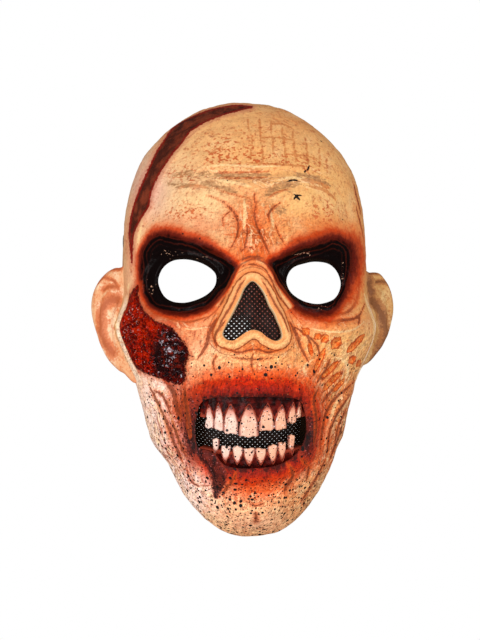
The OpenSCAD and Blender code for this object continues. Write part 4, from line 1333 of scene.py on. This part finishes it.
def earMesh(name, sideSign):
    tall = np.array([1, 2.2])
    outline = curve(leftEarShape if sideSign < 0 else rightEarShape, 12, True)
    line = outline * np.array([earSet['reach'], earSet['height']])
    seg = np.hypot(*(np.roll(line, -1, 0) - line).T)
    along = np.concatenate([[0], np.cumsum(seg)])
    n = earSet['around']
    want = np.linspace(0, along[-1], n, endpoint=False)
    loop = np.stack([np.interp(want, along, np.append(line[:, i], line[0, i])) for i in (0, 1)], -1)
    centre = np.array([0.30 * earSet['reach'], 0.04 * earSet['height']])
    verts = []
    flat = []
    for side in (0, 1):
        for j in range(earSet['rings'] + 1):
            s = 1 - j / (earSet['rings'] + 1)
            for k in range(n):
                verts.append(centre + (loop[k] - centre) * s)
                flat.append((s, side))
    verts += [centre, centre]
    flat += [(0.0, 0), (0.0, 1)]
    p = np.array(verts)
    flat = np.array(flat)
    scaled = p / np.array([earSet['reach'], earSet['height']]) * tall
    lift = np.zeros(len(p))
    for points, width, height in earRidges:
        d, _ = lineDist(scaled, curve(points, 6) * tall)
        lift += height * np.exp(-(d / (width * 1.5)) ** 2)
    rim = 1 - (1 - np.clip((1 - flat[:, 0]) * 7, 0, 1)) ** 2.2
    half = earSet['thick'] / 2
    pad = half * (0.15 + 0.75 * rim)
    y = np.where(flat[:, 1] == 0, -(pad + lift * rim * 0.62), pad)
    sweep = math.radians(earSet['sweep'])
    u = p[:, 0]
    x = earSet['x'] + u * math.cos(sweep) - y * math.sin(sweep)
    yy = earSet['y'] + u * math.sin(sweep) + y * math.cos(sweep)
    z = earSet['z'] + p[:, 1]
    # the root follows the side of the face
    down = np.linspace(0, 180, 400)
    mx, mz = faceSet['middle']
    far = hermite(outlineTable, down)
    sideX = mx + far * np.sin(np.radians(down))
    sideZ = mz + far * np.cos(np.radians(down))
    x = np.maximum(x, np.interp(z, sideZ[::-1], sideX[::-1]) - earSet['sunk'])
    q = np.stack([x * sideSign, yy, z], -1)
    rings = earSet['rings'] + 1
    faces = gridFaces(rings, n, 0, True) + gridFaces(rings, n, rings * n, True, True)
    for k in range(n):
        k2 = (k + 1) % n
        faces.append((k2, k, rings * n + k, rings * n + k2))
        a = (rings - 1) * n
        faces.append((a + k, a + k2, 2 * rings * n))
        b = rings * n + a
        faces.append((b + k2, b + k, 2 * rings * n + 1))
    obj = solidOf(name, q, faces)
    shade = np.zeros(len(p))
    for points, width in (leftEarShading if sideSign < 0 else rightEarShading):
        d, _ = lineDist(scaled, curve(points, 6) * tall)
        shade = np.maximum(shade, 1 - d / (width * 1.7))
    putAttribute(obj, 'shade', np.clip(shade, -1, 1))
    putAttribute(obj, 'rim', flat[:, 0])
    putAttribute(obj, 'back', flat[:, 1])
    putAttribute(obj, 'shadedRightEar', np.full(len(p), 1.0 if sideSign > 0 else 0.0))
    return obj


def earMaterial():
    m = Nodes('earLatex')
    wob = m.times(m.minus(m.noise(160, 4, 0.6), 0.5), 0.9)
    rag = m.times(m.minus(m.noise(620, 4, 0.7), 0.5), 1.4)
    # the right ear takes a darker copy of every colour: painted shade on the side away from the lamps
    side = m.attr('shadedRightEar')
    col = m.mix(side, lin(232, 172, 124), lin(206, 152, 88))
    pale = m.mix(side, lin(252, 222, 184), lin(228, 190, 130))
    col = m.mix(m.times(m.step(m.noise(90, 3, 0.5), 0.44, 0.64), 0.7), col, pale)
    warm = m.mix(side, lin(220, 136, 84), lin(186, 124, 68))
    col = m.mix(m.times(m.step(m.noise(300, 4, 0.7), 0.52, 0.64), 0.35), col, warm)
    col = m.mix(m.times(m.step(m.attr('rim'), 0.88, 1.0), 0.55), col,
                m.mix(side, lin(218, 112, 54), lin(186, 112, 58)))
    # painted shade in the bowl and folds, deeper in the middle
    s = m.plus(m.attr('shade'), m.plus(wob, rag))
    col = m.mix(m.times(m.step(s, -0.05, 0.25), 0.8), col,
                m.mix(side, lin(212, 104, 48), lin(172, 104, 54)))
    deep = m.mix(side, lin(176, 84, 40), lin(118, 66, 32))
    col = m.mix(m.times(m.step(s, 0.35, 0.8), 0.75), col, deep)
    col = m.mix(m.attr('back'), col, lin(226, 192, 150))
    normal = m.bump(m.noise(520, 3, 0.6), 0.0006, 0.35)
    m.shader.inputs['Specular IOR Level'].default_value = 0.3
    return m.finish(col, 0.55, normal)


earMat = earMaterial()
for name, node, sideSign in (('leftEar', 'left_ear', -1), ('rightEar', 'right_ear', 1)):
    ear = earMesh(name, sideSign)
    ear.data.materials.append(earMat)
    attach(ear, 'mask')
    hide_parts(node)

print('band and rivets')
fixSet = dict(sideX=74.4, y=-11, z=24, bandIn=5.3)
bandSet = dict(width=20, thick=1.6, straight=26, tilt=8, ribs=9, hole=2.06)


def lathe(name, profile, sideSign, around=64, closeLoop=False):  # profile of distance inward and radius
    bm = bmesh.new()
    rows = []
    for inward, r in profile:
        ring = []
        for k in range(around):
            a = 2 * math.pi * k / around
            ring.append(bm.verts.new(Vector((sideSign * (fixSet['sideX'] - inward),
                                             fixSet['y'] + r * math.cos(a),
                                             fixSet['z'] + r * math.sin(a))) / 1000))
        rows.append(ring)
    pairs = list(zip(rows, rows[1:]))
    if closeLoop:
        pairs.append((rows[-1], rows[0]))
    else:
        bm.faces.new(rows[0])
        bm.faces.new(rows[-1][::-1])
    for a, b in pairs:
        for k in range(around):
            bm.faces.new((a[k], a[(k + 1) % around], b[(k + 1) % around], b[k]))
    return fromBmesh(name, bm)


def sharpen(obj, degrees=35):
    bm = bmesh.new()
    bm.from_mesh(obj.data)
    for e in bm.edges:
        e.smooth = e.calc_face_angle(0) < math.radians(degrees)
    bm.to_mesh(obj.data)
    bm.free()


def steelMaterial():
    m = Nodes('rivetSteel')
    n = m.noise(900, 3, 0.6, m.stretched(0.3, 1, 1))
    col = m.mix(m.step(n, 0.35, 0.7), lin(176, 174, 168), lin(206, 204, 198))
    rough = m.blend(m.step(n, 0.3, 0.8), 0.24, 0.38)
    return m.finish(col, rough, m.bump(n, 0.0001, 0.25), 0.9)


def fabricMaterial():
    m = Nodes('patchFabric')
    sep = m.add('ShaderNodeSeparateXYZ')
    m.link(m.coords, sep.inputs[0])
    threads = 6300  # weave, in waves of the sine for each metre
    w = m.times(*(m.math('SINE', m.times(sep.outputs[k], threads)) for k in (1, 2)))
    col = m.mix(m.step(w, -0.5, 0.5), lin(34, 33, 33), lin(62, 60, 58))
    return m.finish(col, 0.9, m.bump(w, 0.0002, 0.6))


def elasticMaterial():
    m = Nodes('blackElastic')
    along = m.math('SINE', m.times(m.attr('along'), 5.2))
    rib = m.math('SINE', m.times(m.attr('rib'), 6.2832))
    weave = m.times(along, rib)
    fuzz = m.noise(1500, 2, 0.6)
    lift = m.plus(m.times(weave, 0.5), m.times(fuzz, 0.5))
    col = m.mix(m.step(lift, -0.2, 0.7), lin(17, 17, 18), lin(46, 45, 46))
    return m.finish(col, 0.82, m.bump(lift, 0.0003, 0.8))


# distance inward from the side of the shell, and radius
washerForm = [(7.2, 2.3), (7.2, 4.35), (7.45, 4.6), (7.8, 4.6), (8.0, 4.4), (8.0, 2.3)]
patchForm = [(3.8, 2.3), (3.8, 7.8), (4.05, 8.0), (4.75, 8.0), (5.0, 7.8), (5.0, 2.3)]
rivetForm = [
    (-0.6, 0.6), (-0.58, 1.8), (-0.5, 3.0), (-0.3, 4.1), (0.0, 4.75), (0.3, 5.0), (0.6, 4.9),
    (0.6, 2.0), (4.0, 2.0), (8.3, 2.0), (8.3, 3.35), (8.6, 3.5), (9.1, 3.35), (9.4, 2.9), (9.5, 2.2),
    (9.2, 1.2), (9.15, 0.5)]
steel = steelMaterial()
fabric = fabricMaterial()
for name, sideSign in (('left', -1), ('right', 1)):
    washer = lathe(name + 'Washer', washerForm, sideSign, closeLoop=True)
    patch = lathe(name + 'Patch', patchForm, sideSign, 96, closeLoop=True)
    rivet = lathe(name + 'Rivet', rivetForm, sideSign)
    for obj, node, mat, slot in ((washer, 'washer', steel, 'rivet_steel'),
                                 (rivet, 'rivet', steel, 'rivet_steel'),
                                 (patch, 'patch', fabric, 'patch_fabric')):
        sharpen(obj)
        obj.data.materials.append(mat)
        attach(obj, 'mask')
        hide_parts('%s_%s' % (name, node))


def bandMesh():
    w = bandSet['width']
    th = bandSet['thick']
    rOut = fixSet['sideX'] - fixSet['bandIn']
    straight = bandSet['straight']
    mid = rOut - th / 2
    # rows along the middle of the band: a straight run, a half circle, a straight run
    straightSteps = 26
    arcSteps = 150
    path = []
    for k in range(straightSteps + 1):
        path.append((-mid, straight * k / straightSteps, -1, 0))
    for k in range(1, arcSteps):
        a = math.pi * k / arcSteps
        path.append((-mid * math.cos(a), straight + mid * math.sin(a), -math.cos(a), math.sin(a)))
    for k in range(straightSteps + 1):
        path.append((mid, straight * (1 - k / straightSteps), 1, 0))
    cols = 2 * bandSet['ribs'] * 2 + 1
    bm = bmesh.new()
    alongLayer = bm.verts.layers.float.new('along')
    ribLayer = bm.verts.layers.float.new('rib')
    tilt = math.radians(bandSet['tilt'])

    def toWorld(x, y, z):
        yy = y * math.cos(tilt) - z * math.sin(tilt)
        zz = y * math.sin(tilt) + z * math.cos(tilt)
        return Vector((x, yy + fixSet['y'], zz + fixSet['z'])) / 1000

    def put(x, y, z, s):
        v = bm.verts.new(toWorld(x, y, z))
        v[alongLayer] = s
        v[ribLayer] = (z + w / 2) / w * bandSet['ribs']
        return v

    rowsOut = []
    rowsIn = []
    dist = 0
    last = None
    for x, y, nx, ny in path:
        if last is not None:
            dist += math.hypot(x - last[0], y - last[1])
        last = (x, y)
        outer = []
        inner = []
        for c in range(cols):
            u = -1 + 2 * c / (cols - 1)
            z = u * w / 2
            edge = 1 - abs(u) ** 14 * 0.55
            ribHeight = 0.12 * abs(math.sin(math.pi * bandSet['ribs'] * (u + 1) / 2))
            h = (th / 2 - 0.14) * edge + ribHeight
            outer.append(put(x + nx * h, y + ny * h, z, dist))
            inner.append(put(x - nx * h, y - ny * h, z, dist))
        rowsOut.append(outer)
        rowsIn.append(inner)
    for rows, flip in ((rowsOut, False), (rowsIn, True)):
        for a, b in zip(rows[:-1], rows[1:]):
            for c in range(cols - 1):
                quad = (a[c], b[c], b[c + 1], a[c + 1])
                bm.faces.new(quad[::-1] if flip else quad)
    for a, b in zip(range(len(path) - 1), range(1, len(path))):
        bm.faces.new((rowsOut[b][0], rowsOut[a][0], rowsIn[a][0], rowsIn[b][0]))
        bm.faces.new((rowsOut[a][-1], rowsOut[b][-1], rowsIn[b][-1], rowsIn[a][-1]))
    # rounded ends with the eyelet hole: rings from the hole out to a half circle and the first row
    for endIndex, sign in ((0, -1), (-1, 1)):
        outRow = rowsOut[endIndex]
        inRow = rowsIn[endIndex]
        rim = []
        arc = 40
        for k in range(1, arc):
            a = math.pi * k / arc
            rim.append((-math.sin(a) * w / 2, -math.cos(a) * w / 2))
        border = [(0.0, -w / 2 + w * c / (cols - 1)) for c in range(cols)] + rim[::-1]
        outLoop = list(outRow)
        inLoop = list(inRow)
        for y, z in rim[::-1]:
            outLoop.append(put(sign * (mid + th / 2 - 0.2), y, z, y))
            inLoop.append(put(sign * (mid - th / 2 + 0.2), y, z, y))
        outHole = []
        inHole = []
        for k, (y, z) in enumerate(border):
            a = math.atan2(z, y if k >= cols else 0.6 * (1 - abs(z) / (w / 2)) * 3)
            holeY = bandSet['hole'] * math.cos(a)
            holeZ = bandSet['hole'] * math.sin(a)
            outHole.append(put(sign * (mid + th / 2 - 0.1), holeY, holeZ, y))
            inHole.append(put(sign * (mid - th / 2 + 0.1), holeY, holeZ, y))
        m = len(border)
        for k in range(m):
            k2 = (k + 1) % m
            bm.faces.new((outLoop[k], outLoop[k2], outHole[k2], outHole[k]))
            bm.faces.new((inLoop[k2], inLoop[k], inHole[k], inHole[k2]))
            bm.faces.new((outHole[k], outHole[k2], inHole[k2], inHole[k]))
            if k >= cols - 1:
                bm.faces.new((outLoop[k2], outLoop[k], inLoop[k], inLoop[k2]))
    return fromBmesh('elasticBand', bm)


band = bandMesh()
sharpen(band, 50)
band.data.materials.append(elasticMaterial())
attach(band, 'band')
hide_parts('elastic_band')
print('camera and lamps')
cam = bpy.data.cameras.new('camera')
camObj = bpy.data.objects.new('camera', cam)
bpy.context.scene.collection.objects.link(camObj)
stage = dict(turn=-4.35, away=1.5, aside=-0.0015, up=-0.024, lens=135)  # degrees, metres
az = math.radians(stage['turn'])
camObj.location = (math.sin(az) * stage['away'] + stage['aside'], -math.cos(az) * stage['away'],
                   stage['up'])
camObj.rotation_euler = (math.radians(90), 0, az)
cam.lens = stage['lens']
bpy.context.scene.camera = camObj
world = bpy.data.worlds.new('world')
bpy.context.scene.world = world
world.use_nodes = True
wt = world.node_tree
back = wt.nodes['Background']
back.inputs['Color'].default_value = (1, 1, 1, 1)
white = wt.nodes.new('ShaderNodeBackground')
white.inputs['Strength'].default_value = 1.0
white.inputs['Color'].default_value = (1, 1, 1, 1)
path = wt.nodes.new('ShaderNodeLightPath')
mixer = wt.nodes.new('ShaderNodeMixShader')
dim = wt.nodes.new('ShaderNodeMath')  # the surroundings look dark in reflections
dim.operation = 'MULTIPLY_ADD'
wt.links.new(path.outputs['Is Glossy Ray'], dim.inputs[0])
dim.inputs[1].default_value = -0.5
dim.inputs[2].default_value = 0.58
wt.links.new(dim.outputs[0], back.inputs['Strength'])
wt.links.new(path.outputs['Is Camera Ray'], mixer.inputs[0])
wt.links.new(back.outputs[0], mixer.inputs[1])
wt.links.new(white.outputs[0], mixer.inputs[2])
wt.links.new(mixer.outputs[0], wt.nodes['World Output'].inputs['Surface'])
# name, place in metres, power, size
lamps = [
    ('key', (-0.45, -1.3, 0.55), 7.6, 0.5), ('fill', (1.0, -1.1, 0.0), 6.7, 0.7),
    ('low', (-0.85, -1.05, -0.7), 9.0, 0.7)]
for name, at, power, size in lamps:
    lamp = bpy.data.lights.new(name, 'AREA')
    lamp.energy = power
    lamp.size = size
    lampObj = bpy.data.objects.new(name, lamp)
    lampObj.location = at
    aim = Vector((0, -0.04, -0.02)) - Vector(at)
    lampObj.rotation_euler = aim.to_track_quat('-Z', 'Y').to_euler()
    bpy.context.scene.collection.objects.link(lampObj)
bpy.context.scene.view_settings.view_transform = 'Standard'
